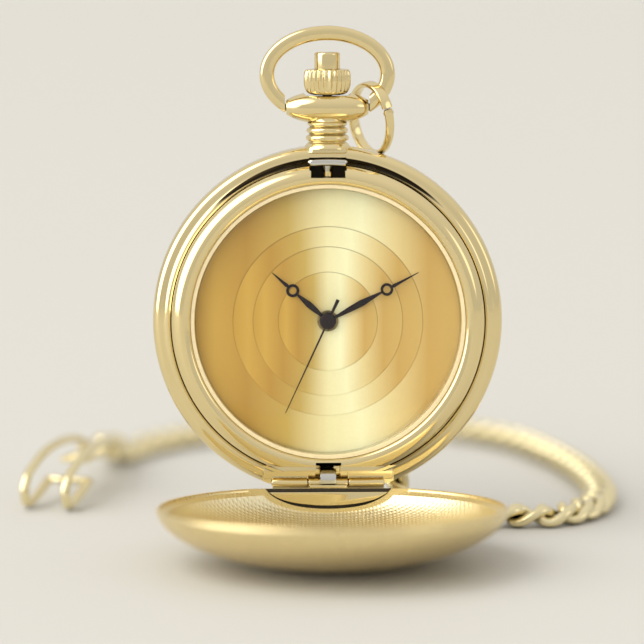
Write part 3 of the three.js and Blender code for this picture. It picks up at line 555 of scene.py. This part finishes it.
def fit(obj, node, material=None, extra=()):
    """Names a finished piece for the CAD node it stands for, paints it and lets it ride on that node's
    body. Faces keep their material numbers if there are extra materials."""
    obj.name = node + "_fine"
    numbers = [p.material_index if extra else 0 for p in obj.data.polygons]
    obj.data.materials.clear()
    for m in (material or FINISH[SLOTS[node]], *extra):
        obj.data.materials.append(m)
    obj.data.polygons.foreach_set("material_index", numbers)
    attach(obj, BODY[node])
    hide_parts(node)


def fit_spring(obj, node):
    """Names and paints a steel spring that reaches from one body to another, between two points of the watch; it
    rides on no body.
    """
    obj.name = node + "_fine"
    obj.data.materials.append(STEEL)
    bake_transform(obj)
    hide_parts(node)


# ---- case ----

LATCH_POCKET = 2.5        # half the width of the pocket at 12 o'clock

def case_band():
    """The round middle of the case, open at the hinge, the lift spring and the latch."""
    front = curve([(21.16, -3.2), (21.3, -2.86), (21.5, -2.54), (21.76, -2.26), (22.1, -2.1),
                   (22.45, -2.04), (22.75, -1.96), (23.06, -1.76), (23.3, -1.42), (23.45, -0.95),
                   (23.5, -0.45)], 6)
    rear = curve([(23.5, 1.2), (23.4, 1.75), (23.1, 2.15), (22.7, 2.35), (22.4, 2.4)], 5)
    profile = [(20.4, -1.2), (21.16, -1.2), *front, *rear, (22.3, 1.3), (20.4, 1.3)]
    ring = lathe("case_band", profile, segments=CASE_SEGMENTS)
    stem_hole = lathe("hole", [(0, 18), (1.4, 18), (1.4, 25), (0, 25)], "z", 32)
    knuckle_seat = box(-8.85, 8.85, -4, -0.95, -25, -20.3)
    cover_rest = box(-12, 12, -4, -2.5, -24, -19.45)
    spring_slot = box(-1.7, 1.7, -4, 0.2, -21.4, -19)
    pocket = box(-LATCH_POCKET, LATCH_POCKET, -4, 0.7, 18.5, 21.95)
    cut(ring, knuckle_seat, cover_rest, spring_slot, pocket, stem_hole)
    # painted shadow: a dark plate at the back of the latch pocket stands in for the shade inside it
    latch_pocket_shadow = box(-2.45, 2.45, 0.45, 0.68, 18.55, 21.9)
    for polygon in latch_pocket_shadow.data.polygons:
        polygon.material_index = 1
    fit(join("band", ring, latch_pocket_shadow), "case_band", BAND_GOLD, (SHADOW,))


def case_back():
    dome = curve([(22.2, 1.8), (22.2, 2.35), (21.7, 3.05), (20.6, 3.85), (19.0, 4.5), (17.0, 5.15),
                  (14.6, 5.72), (13.6, 5.8)], 6)
    inner = [(0, 5.1), (13.8, 5.1), (17, 4.4), (19.2, 3.5), (20.1, 2.75), (20.1, 1.8)]
    back = lathe("case_back", [*inner, *dome, (0, 5.8)], segments=CASE_SEGMENTS)
    opening_notch = box(-2.2, 2.2, 1.95, 2.5, 21.4, 23, 0.1)
    cut(back, opening_notch)
    fit(back, "case_back")


def bezel():
    crest = curve([(21.15, -2.5), (21.12, -2.95), (20.95, -3.45), (20.6, -3.98), (20.12, -4.38),
                   (19.55, -4.58), (19.05, -4.55), (18.68, -4.38), (18.5, -4.15)], 7)
    profile = [(18.45, -1.3), (21.15, -1.3), *crest, (18.45, -3.9)]
    ring = lathe("bezel", profile, segments=CASE_SEGMENTS)
    hinge_flat = box(-12, 12, -6, 0, -22, -19.45)
    spring_slot = box(-1.7, 1.7, -6, 0, -20, -18.9)
    latch_notch = box(-2.3, 2.3, -6, 0, 19.35, 22)
    catch_notch = box(-LATCH_POCKET, LATCH_POCKET, -6, 0, 20.3, 22)
    cut(ring, hinge_flat, spring_slot, latch_notch, catch_notch)
    fit(ring, "bezel", BEZEL_GOLD)


def crystal_parts():
    profile = [(0, -4.0), (9, -3.75), (17.6, -2.95), (17.9, -2.95), (17.9, -3.95), (17.75, -4.2),
               (17.45, -4.35), (15, -4.6), (11, -4.85), (6, -5.04), (3, -5.09), (0, -5.1)]
    fit(lathe("crystal", profile), "crystal")
    seal = [(17.92, -4.1), (18.44, -4.1), (18.44, -2.95), (17.92, -2.95)]
    fit(lathe("seal", fillet(seal, 0.05, closed=True)), "crystal_gasket")
    ring = [(17.7, -2.03), (18.42, -2.03), (18.42, -2.85), (18.25, -2.93, 0.06)]
    fit(lathe("ring", fillet(ring, 0.04, closed=True)), "dial_ring")


def dial():
    """Three shallow round steps down to the middle, with a hole for the hands' pipes."""
    inner, middle, outer, edge = DIAL_RADII
    y, step = -1.9, 0.05
    profile = [(1.4, -1.5), (edge, -1.5), (edge, y), (outer + 0.02, y), (outer, y - step),
               (middle + 0.02, y - step), (middle, y - 2 * step), (inner + 0.02, y - 2 * step),
               (inner, y - 3 * step), (1.5, y - 3 * step), (1.4, y - 3 * step + 0.05)]
    fit(lathe("dial", profile, smooth=60), "dial")


# ---- cover and hinge ----

def dome_line(radius, depth):
    """The (r, h) points of a quarter ellipse, from the rim down towards the middle."""
    steps = 26
    return [(radius * math.cos(a), -depth * math.sin(a))
            for a in (math.pi / 2 * k / steps for k in range(1, steps))]


def moon(half, top, depth):
    """A half-moon outline, flat at the top."""
    return curve([(half, top), (half * 0.86, top - depth * 0.42), (half * 0.55, top - depth * 0.83),
                  (0, top - depth), (-half * 0.55, top - depth * 0.83), (-half * 0.86, top - depth * 0.42),
                  (-half, top)], 5)


def front_cover():
    """A domed shell, closed at its hinge side by a wall whose half-moon pocket is backed by a dark sheet, a
    painted shadow.
    """
    place = watch_at(*COVER_CENTRE)
    depth, rim_top = 8.0, (22.72, 0)
    outer = [(0, -depth)] + dome_line(22.98, depth)[::-1]
    outer += [(23.0, -0.5), (22.96, -0.25), (22.87, -0.08), rim_top]
    inner = [(22.56, -0.05), (22.45, -0.17), (22.4, -0.4), (22.1, -0.62), (21.8, -0.72), (21.55, -0.86)]
    inner += [(r, h - 0.3) for r, h in dome_line(21.6, 7.1)[1:]] + [(0, -7.4)]
    shell = lathe("front_cover", outer + inner, "z", CASE_SEGMENTS, place)
    cut(shell, box(-30, 30, COVER_CHORD, 30, -20, 5, place=place))
    middle, patterned_r = place @ Vector(), 22.3 * MM
    for p in shell.data.polygons:
        p.material_index = 1 if p.normal.z > 0.02 and (p.center - middle).length < patterned_r else 0
    wall = lathe("wall", outer + [(0, 0)], "z", CASE_SEGMENTS, place)
    boolean(wall, "INTERSECT", box(-30, 30, COVER_CHORD - 0.6, COVER_CHORD, -20, 5, place=place))
    cut(wall, slab("pocket", moon(8.75, 0.3, 3.0), COVER_CHORD - 0.9, COVER_CHORD - 0.1, place=place))
    # painted shadow: a dark sheet at the back of the half-moon pocket stands in for the shade inside it
    pocket_shadow_sheet = slab("pocket_shadow_sheet", moon(8.9, -0.02, 2.8), COVER_CHORD - 0.12, COVER_CHORD - 0.02, place=place)
    for part, number in ((wall, 0), (pocket_shadow_sheet, 2)):
        part.data.polygons.foreach_set("material_index", [number] * len(part.data.polygons))
    fit(join("front_cover", shell, wall, pocket_shadow_sheet), "front_cover", COVER_GOLD, (COVER_INNER, SHADOW))


def cover_leaf():
    """The half-moon leaf inside the cover's wall, its bright inlay, and the middle knuckle."""
    wall_y = COVER_CENTRE[1] + COVER_CHORD
    _, y, z = HINGE
    leaf = slab("leaf", moon(8.5, z - 0.62, 2.75), wall_y + 0.1, wall_y + 0.5, 0.06)
    inlay = slab("inlay", moon(8.0, z - 0.98, 1.8), wall_y - 0.62, wall_y - 0.2, 0.1)
    knuckle = rod("knuckle", KNUCKLE_R, (-2.66, y, z), (2.66, y, z), 0.1)
    web = box(-2.5, 2.5, wall_y + 0.2, y, z - 0.78, z - 0.15, 0.06)
    fit(join("leaf", leaf, inlay, knuckle, web), "cover_hinge_leaf")


def case_knuckles():
    """The plate under the band, cut out for the middle knuckle and the lift spring, and its two knuckles."""
    _, y, z = HINGE
    plate = box(-8.7, 8.7, -2.3, -1.1, z + 0.55, z + 2.4, 0.09)
    cut(plate, box(-2.68, 2.68, -4, -0.5, z, z + 1.5), box(-1.62, 1.62, -4, -0.5, z, z + 3))
    ends = [rod("knuckle", KNUCKLE_R, (side * 2.78, y, z), (side * 7.5, y, z), 0.1) for side in (-1, 1)]
    webs = [box(x0, x1, y - 0.3, y + 0.6, z, z + 1.0, 0.05) for x0, x1 in ((-7.48, -2.8), (2.8, 7.48))]
    block = box(0.75, 1.6, -2.1, -1.2, z + 1.5, z + 2.3, 0.06)
    fit(join("knuckles", plate, block, *ends, *webs), "case_hinge_knuckles")
    fit(rod("pin", 0.38, (-7.62, y, z), (7.62, y, z), 0.12, 24), "hinge_pin")


def lift_spring():
    z = HINGE[2]
    line = curve([(0, -0.9, z + 2.25), (0, -2.2, z + 1.8), (0, -2.75, z + 1.42), (0, -3.02, z + 0.7),
                  (0, -3.05, z + 0.05)], 8)
    tongue = sweep("lift_spring", line, superellipse(1.08, 0.14, 4, 20), (0, 0.6, 0.8), dome=0.1)
    fit_spring(tongue, "lift_spring")


# ---- latch ----

def latch():
    radius, half_angle = 21.35, 6.1
    angles = np.radians(np.linspace(-half_angle, half_angle, 15))
    line = [(radius * math.sin(a), -1.75, radius * math.cos(a)) for a in angles]
    up = [(p[0], 0, p[2]) for p in line]
    catch = sweep("catch", line, superellipse(1.15, 0.5, 4.0, 32), up, dome=0.5)
    fit(catch, "latch_catch")
    pin = lathe("pin", [(0, 19.4), (0.45, 19.4), (0.55, 19.5), (0.55, 20.05), (0.45, 20.15), (0, 20.15)],
                "z", 32, watch_at(0, -2.6, 0))
    fit(pin, "latch_guide_pin")


# ---- pendant, crown, button and bow ----

BALL_HALF = (6.07, 2.9, 2.25)
BALL_FLAT_X = 5.5         # the ball's flat ends
CROWN_FLUTES = 26


def pendant():
    """The ribbed neck, clear of the shut cover, and the ball that the crown sits on."""
    neck_line = curve([(3.25, 22.6), (3.1, 23.3), (2.78, 23.72), (2.52, 24.0), (2.82, 24.25), (2.9, 24.52),
                       (2.78, 24.8), (2.42, 25.0), (2.72, 25.25), (2.8, 25.52), (2.68, 25.8), (2.36, 26.0),
                       (2.62, 26.22), (2.68, 26.45), (2.4, 26.75), (2.2, 27.4)], 5)
    neck = lathe("neck", [(0, 22.6), *neck_line, (0, 27.4)], "z", 96, smooth=50)
    cut(neck, lathe("bore", [(0, 22), (0.8, 22), (0.8, 27), (0, 27)], "z", 32),
        lathe("cover_rest", [(0, -2.45), (23.12, -2.45), (23.12, -6), (0, -6)], segments=CASE_SEGMENTS))
    steps, rings = 96, 40
    verts, faces = [], []
    for i in range(rings + 1):
        share = -1 + 2 * i / rings
        x = BALL_FLAT_X * math.sin(share * math.pi / 2)
        girth = math.sqrt(1 - (x / BALL_HALF[0]) ** 2)
        for k in range(steps):
            a = 2 * math.pi * k / steps
            verts.append((x, BALL_HALF[1] * girth * math.cos(a), BALL_Z + BALL_HALF[2] * girth * math.sin(a)))
    for i in range(rings):
        for k in range(steps):
            n = (k + 1) % steps
            faces.append((i * steps + k, i * steps + n, (i + 1) * steps + n, (i + 1) * steps + k))
    faces.append(tuple(range(steps)))
    faces.append(tuple(rings * steps + k for k in range(steps)))
    ball = mesh("ball", verts, faces, smooth=50)
    cut(ball, lathe("bore", [(0, 26), (0.8, 26), (0.8, 32), (0, 32)], "z", 32),
        lathe("crown_seat", [(0, 30.18), (3.25, 30.18), (3.25, 33), (0, 33)], "z", 96))
    fit(join("pendant", neck, ball), "pendant")


def crown():
    """The fluted crown, the button in it and the spring under the button."""
    plain_r, flute_depth = 2.2, 0.24

    def ribs(r, h, a):
        if r <= plain_r:
            return r
        body = min(1.0, max(0.0, (h - 30.5) / 0.8)) * min(1.0, max(0.0, (33.75 - h) / 0.35))
        return r - flute_depth * (0.5 - 0.5 * math.cos(CROWN_FLUTES * a)) ** 0.8 * body

    side = curve([(1.9, 30.28), (2.45, 30.4), (2.82, 30.72), (3.04, 31.2), (3.14, 31.8), (3.16, 32.4),
                  (3.14, 33.0), (3.04, 33.4), (2.8, 33.66), (2.45, 33.72)], 5)
    profile = [(0.75, 30.28), *side, (1.95, 33.62), (1.84, 33.5), (1.82, 31.9), (0.75, 31.9)]
    fit(lathe("crown", profile, "z", CROWN_FLUTES * 12, smooth=60, ripple=ribs), "crown")
    cap = fillet([(0, 33), (1.74, 33), (1.74, 36.0, 0.35), (0, 36.0)], 0.3, 6)
    fit(lathe("button", cap, "z", 64, smooth=50), "push_button")
    two_turns = 4 * math.pi
    coil = [(1.3 * math.cos(a), 1.3 * math.sin(a), 32.06 + 0.8 * a / two_turns)
            for a in np.linspace(0, two_turns, 97)]
    spring = sweep("button_spring", coil, superellipse(0.1, 0.1, 2, 10), (0, 0, 1))
    fit_spring(spring, "button_spring")


def bow():
    """An open loop whose flat ends turn on two pins in the ball."""
    start = -50
    angles = np.radians(np.linspace(start, 180 - start, 121))
    line = [(8.1 * math.cos(a), 0, 33.0 + 5.55 * math.sin(a)) for a in angles]
    loop = sweep("bow", line, superellipse(1.0, 0.98, 3.0, 40), (0, 1, 0))
    cut(loop, box(-5.68, 5.68, -3, 3, 24, 31.5))
    pins = [rod("pin", 0.5, (side * 4.5, 0, BALL_Z), (side * 6.0, 0, BALL_Z), 0.05) for side in (-1, 1)]
    fit(join("bow", loop, *pins), "bow")


# ---- hands ----

FULL_TURN = np.linspace(0, 2 * math.pi, 49)[:-1]


def hand(size, y0, y1, degrees):
    """Hub, leaf blade, open eye and needle tip, pointing to 12 and then turned clockwise."""
    turn = WATCH @ Matrix.Rotation(math.radians(degrees), 4, "Y")
    low, high = size["eye"] - size["ring"] + 0.12, size["eye"] + size["ring"] - 0.12
    half = size["blade"] / 2
    blade = [(-0.17, 0.9), (-half * 0.85, low * 0.42), (-half, low * 0.62), (-0.13, low),
             (0.13, low), (half, low * 0.62), (half * 0.85, low * 0.42), (0.17, 0.9)]
    tip = [(-0.14, high), (-0.26, high + 0.35), (-0.2, high + 0.8), (-0.045, size["length"]),
           (0.045, size["length"]), (0.2, high + 0.8), (0.26, high + 0.35), (0.14, high)]
    middle = (y0 + y1) / 2
    ring = size["ring"] * 0.8
    eye_line = [(ring * math.cos(a), middle, size["eye"] + ring * math.sin(a)) for a in FULL_TURN]
    wire = superellipse(size["ring"] * 0.22, (y1 - y0) / 2, 3, 12)
    eye = sweep("eye", eye_line, wire, (0, 1, 0), True, turn)
    hub_line = [(size["bore"], y0), (size["hub"], y0), (size["hub"], y1), (size["bore"], y1)]
    hub = lathe("hub", fillet(hub_line, 0.04, closed=True), segments=64, place=turn)
    blade, tip = slab("blade", blade, y0, y1, 0.035, turn), slab("tip", tip, y0, y1, 0.03, turn)
    return join("hand", blade, tip, eye, hub)


def hands():
    hour = {"length": 9.93, "eye": 6.25, "ring": 0.87, "blade": 0.86, "hub": 1.12, "bore": 0.85}
    minute = {"length": 13.8, "eye": 8.97, "ring": 0.84, "blade": 0.9, "hub": 1.08, "bore": 0.6}
    fit(hand(hour, -2.4, -2.25, 311), "hour_hand")
    fit(hand(minute, -2.7, -2.55, 61.8), "minute_hand")
    turn = WATCH @ Matrix.Rotation(math.radians(204.9), 4, "Y")
    needle = [(-0.05, 13.6), (-0.13, 0.8), (-0.16, -1.0), (-0.24, -3.2), (0.24, -3.2), (0.16, -1.0),
              (0.13, 0.8), (0.05, 13.6)]
    hub = lathe("hub", [(0, -3.06), (0.2, -3.1), (0.85, -3.08), (1.06, -2.99), (1.1, -2.94), (1.1, -2.88),
                        (0, -2.88)], segments=64, place=turn)
    fit(join("seconds", slab("needle", needle, -3.0, -2.88, 0.03, turn), hub), "seconds_hand")


# ---- snap hook ----

# the hook is an oval: its middle, its half axes and the direction across its strip
HOOK_CENTRE = np.array((6.0, 2.1, 26.9))
HOOK_LONG = np.array((0.1, 0.3, -0.95)) * 5.0
HOOK_WIDE = np.array((0.5, -0.866, 0)) * 4.6
HOOK_NORMAL = np.cross(HOOK_LONG, HOOK_WIDE) / np.linalg.norm(np.cross(HOOK_LONG, HOOK_WIDE))
EYE_AT = np.array((6.7, 5.3, 20.4))
EYE_R = 1.35


def hook_point(degrees):
    a = math.radians(degrees)
    return HOOK_CENTRE + HOOK_LONG * math.sin(a) + HOOK_WIDE * math.cos(a)


def hook():
    """The hook's arc, its post with a collar and eye for the chain, and the gate that closes the arc."""
    strip = superellipse(0.36, 0.74, 3.5, 24)
    body = sweep("arc", [hook_point(a) for a in np.linspace(84, 339.5, 72)], strip, HOOK_NORMAL, dome=0.1)
    foot = hook_point(92)
    way = (EYE_AT - foot) / np.linalg.norm(EYE_AT - foot)
    post = rod("post", 0.52, foot - way * 0.2, EYE_AT - way * 1.2, 0.1)
    collar = rod("collar", 0.78, foot + way * 0.5, foot + way * 1.0, 0.12)
    pivot_at = hook_point(79)
    pivot = rod("pivot", 0.5, pivot_at - HOOK_NORMAL * 0.75, pivot_at + HOOK_NORMAL * 0.75, 0.1, 24)
    along = np.array((0.06, 0.33, -0.94)) / np.linalg.norm((0.06, 0.33, -0.94))
    side = np.cross(along, (0, 1, 0))
    side /= np.linalg.norm(side)
    side = side * math.cos(-math.pi / 4) + np.cross(along, side) * math.sin(-math.pi / 4)
    eye_line = [EYE_AT + along * EYE_R * math.cos(a) + side * EYE_R * math.sin(a) for a in FULL_TURN]
    eye = sweep("eye", eye_line, superellipse(0.45, 0.45, 2, 16), np.cross(along, side), True)
    fit(join("hook", body, post, collar, pivot, eye), "hook_body")
    slim = superellipse(0.36, 0.6, 3.5, 24)
    gate = sweep("gate", [hook_point(a) for a in np.linspace(-17.5, 73, 30)], slim, HOOK_NORMAL, dome=0.1)
    lip = rod("lip", 0.3, hook_point(-12) - HOOK_NORMAL * 0.7, hook_point(-12) + HOOK_NORMAL * 0.7, 0.1, 20)
    fit(join("gate", gate, lip), "hook_gate")


# ---- chain ----

LYING_Z = TABLE_Z + 1.6
CHAIN_WIRE = 1.42
CHAIN_HALF_WIDTH = 1.65   # to the middle of the wire
CHAIN_TWIST = math.radians(-56)
HANGING_LINKS = 11
TABLE_RUN_LINKS = 6
# down from the hook behind the case, round on the table, and up to the clip
HANGING = [(6.7, 6.36, 20.1), (7.2, 9.5, 12), (7.6, 9.4, 0), (8.2, 8.9, -14), (9.8, 8.2, -23.2)]
LYING = [(13.2, 7.2), (19, 5.2), (25.4, 4.0), (31.2, 4.5), (36.0, 10.2), (38.4, 19), (38.5, 29), (37, 42),
         (33.8, 55.5), (28.6, 69), (19, 79), (2, 82.5), (-16, 75.5), (-24, 67), (-28.6, 58.5)]
RISING = [(-30, 52.5, LYING_Z + 1.7), (-30.5, 47.5, LYING_Z + 3), (-30.6, 41.3, LYING_Z + 3)]
CHAIN_LINE = curve(HANGING + [(x, y, LYING_Z) for x, y in LYING] + RISING, 60)
CHAIN_AT = np.concatenate(([0.0], np.cumsum(np.linalg.norm(np.diff(CHAIN_LINE, axis=0), axis=1))))


def on_chain(distance):
    """The point at a distance along the chain, and the chain's direction there."""
    back, point, ahead = (np.array([np.interp(distance + step, CHAIN_AT, CHAIN_LINE[:, i]) for i in range(3)])
                          for step in (-0.4, 0, 0.4))
    return point, (ahead - back) / np.linalg.norm(ahead - back)


def chain_distance(joint):
    """Where a chain joint lies along the chain line."""
    spot = np.array((Vector(JOINTS[joint]["pos_m"]) - CENTRE) / MM)
    return CHAIN_AT[int(np.argmin(np.linalg.norm(CHAIN_LINE - spot, axis=1)))]


def curb_link(distance, pitch):
    """One link, bent so that it lies flat while its ends stand crosswise for its neighbours."""
    point, along = on_chain(distance)
    level = math.hypot(along[0], along[1])
    across = np.array((-along[1], along[0] + 1 - level, 0.0))
    across -= along * across.dot(along)
    across /= np.linalg.norm(across)
    up = np.cross(along, across)
    reach = (pitch + CHAIN_WIRE) / 2
    line, lift = [], []
    for k in range(40):
        a = 2 * math.pi * k / 40
        c, s = math.cos(a), math.sin(a)
        x = reach * math.copysign(abs(c) ** 0.85, c)
        y = CHAIN_HALF_WIDTH * math.copysign(abs(s) ** 0.85, s)
        roll = CHAIN_TWIST * x / reach
        line.append(point + along * x + (across * math.cos(roll) + up * math.sin(roll)) * y)
        lift.append(up * math.cos(roll) - across * math.sin(roll))
    wire = superellipse(CHAIN_WIRE / 2, CHAIN_WIRE / 2 * 0.94, 2.3, 14)
    return sweep("link", line, wire, lift, True, LEVEL)


def chain():
    """Nine runs of links, each between two of the chain's joints."""
    names = ["chain_sway", "chain_lay"] + [f"chain_bend_{k}" for k in range(3, 10)] + ["clip_swing"]
    stops = [chain_distance(name) for name in names]
    stops[0] += 0.7
    for run, (start, end) in enumerate(zip(stops, stops[1:])):
        count = HANGING_LINKS if run == 0 else TABLE_RUN_LINKS
        pitch = (end - start) / count
        links = [curb_link(start + pitch * (k + 0.5), pitch) for k in range(count)]
        fit(join("run", *links), f"chain_run_{run + 1}", CHAIN_GOLD)


# ---- belt clip ----

def clip():
    """Two bent wire prongs on cross bars, and a sprung tongue between them. Heights are above the table."""
    hinge = Vector(JOINTS["clip_swing"]["pos_m"])
    lateral = Vector(JOINTS["clip_open"]["axis"])
    ahead = lateral.cross(Vector((0, 0, 1)))
    place = basis(ahead, lateral, Vector((0, 0, 1)), Vector((hinge.x, hinge.y, FLOOR_Z)))
    wire = superellipse(0.55, 0.62, 2.6, 16)
    parts = []
    for side in (-1, 1):
        y = side * 3.0
        prong = curve([(0, side * 2.2, 4.6), (2.5, side * 2.8, 6.4), (7, y, 7.4), (16, y, 7.3),
                       (21.5, y, 5.9), (24.2, y, 4.7), (25.2, y, 2.8), (24.2, y, 1.0), (21, y, 1.3),
                       (15.5, y, 3.0)], 8)
        parts.append(sweep("prong", prong, wire, (0, 1, 0), place=place, dome=0.3))
    parts.append(rod("rear", 0.42, (0, -2.7, 4.6), (0, 2.7, 4.6), 0.1, place=place))
    parts.append(rod("front", 0.55, (15.6, -3, 3.0), (15.6, 3, 3.0), 0.1, place=place))
    fit(join("clip", *parts), "belt_clip", CHAIN_GOLD)
    x, z = 5.2, 5.4
    leaf = box(x - 2.6, x + 8.2, -2.1, 2.1, z - 0.3, z + 0.3, 0.14, place)
    boss = rod("boss", 0.62, (x, -2.2, z + 0.1), (x, 2.2, z + 0.1), 0.1, place=place)
    knurl = [rod("rib", 0.22, (at, -1.7, z + 0.3), (at, 1.7, z + 0.3), 0.08, 12, place)
             for at in (x + 5 + k * 0.7 for k in range(4))]
    fit(join("tongue", leaf, boss, *knurl), "clip_tongue", CHAIN_GOLD)


# ---- stage ----

WHITE_BOX = (3.2, 3.15, 3.05, 1)
SMALL_BOX = (1.5, 1.45, 1.35, 1)


def floor():
    edge = 4000
    corners = [(-edge, -edge, 0), (edge, -edge, 0), (edge, edge, 0), (-edge, edge, 0)]
    sheet = mesh("floor", corners, [(0, 1, 2, 3)], Matrix.Translation((0, 0, FLOOR_Z)))
    sheet.data.materials.append(floor_matt())


def studio():
    """A pale room with softboxes that only reflections see, a soft lamp above and a wide fill in front."""
    world = bpy.data.worlds.new("studio")
    bpy.context.scene.world = world
    n = Nodes(world)
    way = n.add("TexCoord").outputs["Generated"]

    def patch(direction, inner, outer):
        """1 within inner degrees of a direction, 0 beyond outer."""
        facing = n.add("VectorMath", {0: way, 1: tuple(Vector(direction).normalized())},
                       operation="DOT_PRODUCT").outputs["Value"]
        return n.spread(facing, 0.0, 1.0, math.cos(math.radians(outer)), math.cos(math.radians(inner)))

    parts = n.add("SeparateXYZ", {"Vector": way})
    height = n.spread(parts.outputs["Z"], 0.0, 1.0, -0.1, 1.0)
    tone = n.ramp(height, (0.0, (0.66, 0.65, 0.625, 1)), (0.35, (0.73, 0.715, 0.69, 1)),
                  (0.7, (0.82, 0.80, 0.77, 1)), (1.0, (0.90, 0.88, 0.85, 1)))
    backdrop = tone
    # a tall softbox to the left of the camera, in two overlapping rounds, and a small one to its right
    tone = n.mix(patch((-1.0, -0.3, 0.4), 23, 32), tone, WHITE_BOX)
    tone = n.mix(patch((-0.8, -0.35, 0.9), 20, 29), tone, WHITE_BOX)
    tone = n.mix(patch((0.95, -0.5, 0.35), 10, 14), tone, SMALL_BOX)
    tone = n.mix(n.add("LightPath").outputs["Is Camera Ray"], tone, backdrop)
    out = n.add("OutputWorld")
    back = n.add("Background", {"Color": tone, "Strength": 1.0})
    n.tree.links.new(back.outputs[0], out.inputs["Surface"])

    key = bpy.data.lights.new("key", "AREA")
    key.energy, key.size = 2.5, 0.8
    fill = bpy.data.lights.new("fill", "SUN")
    fill.energy, fill.angle = 1.35, math.radians(55)
    for name, light, spot in (("key", key, (-0.7, -0.5, 1.1)), ("fill", fill, (-0.3, -1.0, 0.42))):
        light.color = (1.0, 0.985, 0.955)
        lamp = bpy.data.objects.new(name, light)
        lamp.location = CENTRE + Vector(spot)
        lamp.rotation_mode = "QUATERNION"
        lamp.rotation_quaternion = (lamp.location - CENTRE).to_track_quat("Z", "Y")
        lamp.visible_glossy = False
        bpy.context.scene.collection.objects.link(lamp)


def camera():
    """A long lens a little left of the dial and eight degrees above the table. It focuses on a marker at the
    dial, so the watch stays sharp from every side."""
    distance, up, left = 0.7, math.radians(8.0), math.radians(1.4)
    aim_left, aim_down, dial_ahead = 0.741 * MM, 0.337 * MM, 3 * MM
    ahead = Vector((math.sin(left) * math.cos(up), math.cos(left) * math.cos(up), -math.sin(up)))
    right = Vector((math.cos(left), -math.sin(left), 0))
    over = right.cross(ahead)
    target = CENTRE - right * aim_left - over * aim_down
    data = bpy.data.cameras.new("camera")
    data.sensor_width, data.lens = 36.0, 290.6
    data.clip_start, data.clip_end = 0.05, 20.0
    focus = bpy.data.objects.new("focus", None)
    focus.location = target - ahead * dial_ahead
    bpy.context.scene.collection.objects.link(focus)
    data.dof.use_dof = True
    data.dof.focus_object = focus
    data.dof.aperture_fstop = 11.0
    obj = bpy.data.objects.new("camera", data)
    obj.matrix_world = basis(right, over, -ahead, target - ahead * distance)
    bpy.context.scene.collection.objects.link(obj)
    bpy.context.scene.camera = obj


for build in (case_band, case_back, bezel, crystal_parts, dial, front_cover, cover_leaf, case_knuckles,
              lift_spring, latch, pendant, crown, bow, hands, hook, chain, clip, floor, studio, camera):
    build()
bpy.context.scene.view_settings.view_transform = "Standard"
